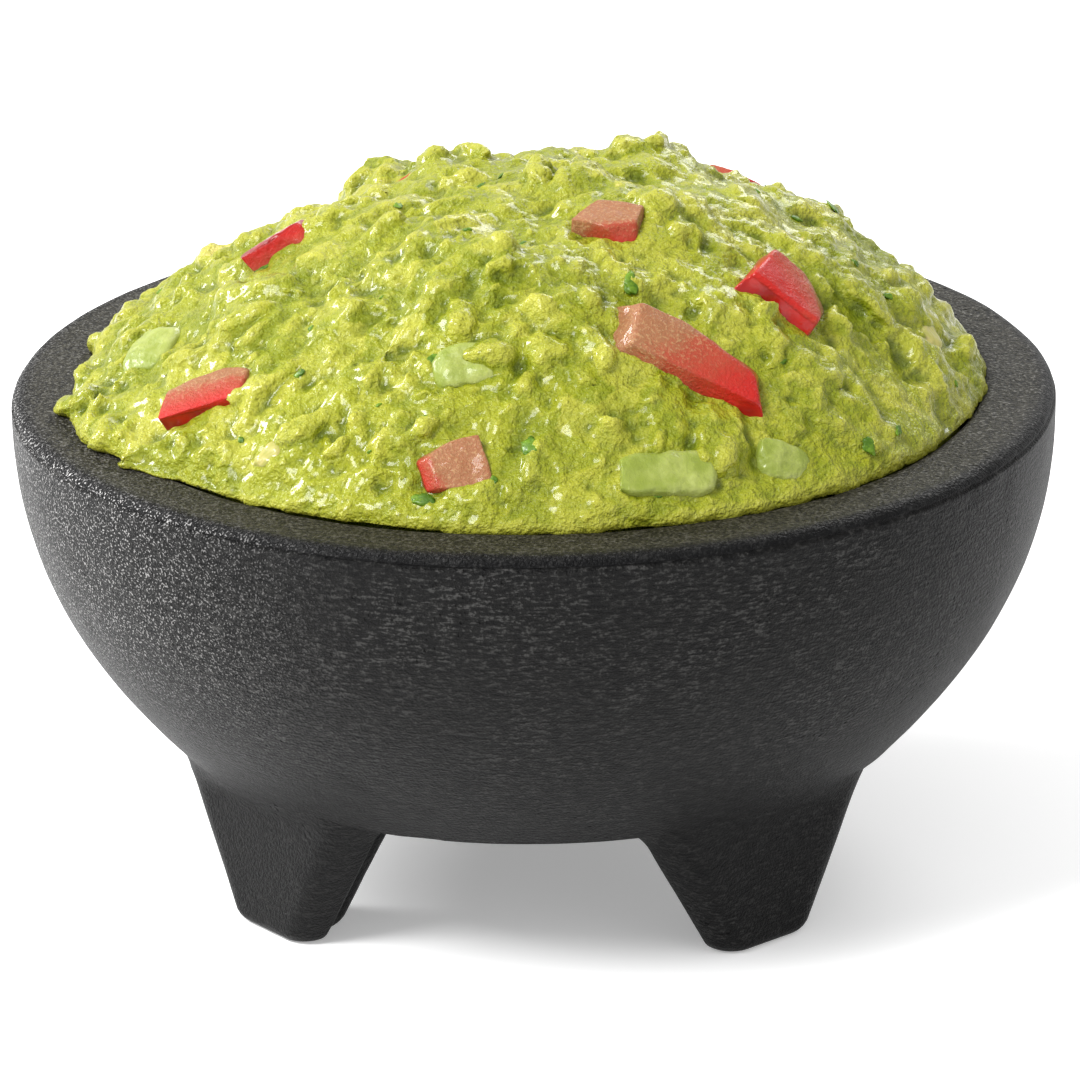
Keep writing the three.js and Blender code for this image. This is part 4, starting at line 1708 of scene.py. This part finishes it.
@dataclass
class Flecks:
    """Chopped herb and chilli skin, strewn over the heap."""

    heap: Heap
    count: int = 36
    half_thickness: float = 0.30 * MM
    shown: tuple[tuple[float, float, float], ...] = (
        (-23 * MM, -85 * MM, 4.6 * MM),
        (63 * MM, -60 * MM, 3.6 * MM),
        (58 * MM, 18 * MM, 4.6 * MM),
        (-1 * MM, -76 * MM, 4.4 * MM),
        (18 * MM, -45 * MM, 5.0 * MM),
        (-52 * MM, -8 * MM, 3.2 * MM),
        (-18 * MM, -58 * MM, 3.0 * MM),
    )

    def build(self, leaf: bpy.types.Material, skin: bpy.types.Object) -> bpy.types.Object:
        """Builds all the flecks as one piece, lying in the heap's skin.

        Args:
            leaf: Their finish.
            skin: The finished heap.

        Returns:
            The flecks.
        """
        random = np.random.default_rng(31)
        spread = np.sqrt(random.uniform(0.02, 0.93, self.count))
        azimuth = random.uniform(0, 2 * np.pi, self.count)
        size = random.uniform(1.2 * MM, 2.6 * MM, self.count)
        seen = np.array(self.shown)
        seen_azimuth, seen_spread = self.heap.locate(seen[:, 0], seen[:, 1])
        azimuth, spread = np.concatenate([azimuth, seen_azimuth]), np.concatenate([spread, seen_spread])
        size = np.concatenate([size, seen[:, 2]])
        at = self.heap.crown_frame(azimuth, np.minimum(spread, 0.96))
        normals, centres = self.on_skin(skin.data, at)
        turn = random.uniform(0, 2 * np.pi, len(size))[:, None]
        along = unit(at.uphill * np.cos(turn) + at.sideways * np.sin(turn))
        along = unit(along - normals * (along * normals).sum(axis=1, keepdims=True))
        wide = size * random.uniform(0.22, 0.4, len(size))
        radii = np.stack([size * 0.5, wide, np.full(len(size), self.half_thickness)], axis=1)
        frames = np.stack([along, np.cross(normals, along), normals], axis=1)
        points, triangles, _ = self.heap.ellipsoids(centres - normals * 0.1 * MM, radii, frames, 3)
        piece = solid_piece("herb_flecks", points, triangles.tolist())
        dress(piece, leaf, "serving")
        return piece

    def on_skin(self, mesh: bpy.types.Mesh, at: CrownFrame) -> tuple[Grid, Grid]:
        """The heap's normals and surface points nearest to places just over the smooth crown."""
        points, normals = vertex_grid(mesh), vertex_grid(mesh, "normal")
        tree = KDTree(len(points))
        for index, point in enumerate(points):
            tree.insert(point, index)
        tree.balance()
        near = [tree.find(place)[1] for place in at.points + at.normals * 2 * MM]
        return unit(normals[near] + at.normals), points[near]


# ---------------------------------------------------------------- the studio


@dataclass(frozen=True)
class SoftLight:
    """A rectangular soft light that faces the bowl."""

    name: str
    azimuth: float
    elevation: float
    distance: float
    width: float
    watts: float


@dataclass
class Studio:
    """A pale floor, soft lights and the camera."""

    vessel: Vessel
    elevation: float = 19.12
    distance: float = 1.289
    aim_drop: float = 30.9 * MM
    aim_right: float = 0.9 * MM
    roll: float = -0.69
    lens: float = 219.6
    lights: tuple[SoftLight, ...] = (
        SoftLight("key", -48, 50, 1.3, 0.5, 20.0),
        SoftLight("fill", 48, 30, 1.6, 1.0, 2.5),
        SoftLight("left_edge", -115, 28, 1.2, 0.3, 11.0),
        SoftLight("back", 160, 34, 1.5, 0.6, 8.0),
    )
    sky: float = 0.68
    floor_rings: tuple[float, float, float] = (0.4, 2.0, 12.0)

    def aim(
        self, thing: bpy.types.Object, azimuth: float, elevation: float, distance: float, at: Vector
    ) -> None:
        """Puts a light or camera round a point and turns it to face the point.

        Args:
            thing: The light or camera.
            azimuth: Direction from the point in degrees, 0 being the front and 90 the right.
            elevation: Height above the horizon in degrees.
            distance: Distance from the point.
            at: The point.
        """
        turn, tilt = math.radians(azimuth), math.radians(elevation)
        back = Vector((math.sin(turn) * math.cos(tilt), -math.cos(turn) * math.cos(tilt), math.sin(tilt)))
        thing.location = at + back * distance
        thing.rotation_mode = "QUATERNION"
        thing.rotation_quaternion = (-back).to_track_quat("-Z", "Y")

    def build_camera(self) -> None:
        """Sets up the camera: it stands in front of the rim's middle and looks a little below it."""
        camera = bpy.data.objects.new("camera", bpy.data.cameras.new("camera"))
        bpy.context.scene.collection.objects.link(camera)
        rim_middle = Vector((0, 0, self.vessel.rim_line))
        self.aim(camera, 0, self.elevation, self.distance, rim_middle)
        target = rim_middle + Vector((self.aim_right, 0, -self.aim_drop))
        look = (target - camera.location).to_track_quat("-Z", "Y")
        camera.rotation_quaternion = look @ Matrix.Rotation(math.radians(self.roll), 3, "Z").to_quaternion()
        camera.data.lens = self.lens
        camera.data.sensor_width = 36.0
        camera.data.clip_end = 50.0
        bpy.context.scene.camera = camera

    def build_lights(self) -> None:
        """Sets up the lights and an even pale surround."""
        middle = Vector((0, 0, self.vessel.rim_line * 0.8))
        for light in self.lights:
            data = bpy.data.lights.new(light.name, "AREA")
            data.size = light.width
            data.energy = light.watts
            thing = bpy.data.objects.new(light.name, data)
            bpy.context.scene.collection.objects.link(thing)
            self.aim(thing, light.azimuth, light.elevation, light.distance, middle)
        world = bpy.data.worlds.new("surround")
        world.use_nodes = True
        world.node_tree.nodes["Background"].inputs["Color"].default_value = (1, 1, 1, 1)
        world.node_tree.nodes["Background"].inputs["Strength"].default_value = self.sky
        bpy.context.scene.world = world
        bpy.context.scene.view_settings.view_transform = "Standard"

    def build_floor(self, finish: bpy.types.Material) -> None:
        """Lays the floor: a wide disc just under the feet."""
        turns = 96
        angle = np.linspace(0, 2 * np.pi, turns, endpoint=False)
        around = np.stack([np.cos(angle), np.sin(angle)], axis=1)
        rings = [np.column_stack([around * radius, np.zeros(turns)]) for radius in self.floor_rings]
        points = np.concatenate([*rings, [[0, 0, 0]]])
        faces = [face[::-1] for face in ring_faces(len(rings), turns)]
        faces.extend((len(points) - 1, i, (i + 1) % turns) for i in range(turns))
        floor = solid_piece("studio_floor", points, faces)
        floor.data.materials.append(finish)


def main() -> None:
    """Builds the vessel, the serving and the studio in order."""
    logging.basicConfig(level=logging.INFO, format="%(name)s: %(message)s")
    vessel = Vessel.from_frame()
    studio = Studio(vessel)
    studio.build_camera()
    studio.build_lights()
    studio.build_floor(PaleFloor().build())

    stone = FauxStone(vessel.rim_radius, vessel.rim_line, vessel.rim_top).build()
    log.info("bowl: %d faces", len(vessel.build_bowl(stone).data.polygons))
    for place in FootPlace:
        log.info("%s: %d faces", place.name, len(vessel.build_foot(place, stone).data.polygons))

    heap = Heap(vessel)
    garnish = Garnish(heap)
    places = garnish.places()
    guacamole = heap.build(AvocadoMash().build(), list(places.values()))
    log.info("guacamole: %d faces", len(guacamole.data.polygons))
    finishes = {
        "tomato": TomatoFlesh().build(),
        "avocado": AvocadoFlesh().build(),
        "onion": OnionFlesh().build(),
    }
    garnish.build(places, finishes)
    Flecks(heap).build(HerbLeaf().build(), guacamole)
    log.info("herb flecks")


if __name__ == "__main__":
    main()
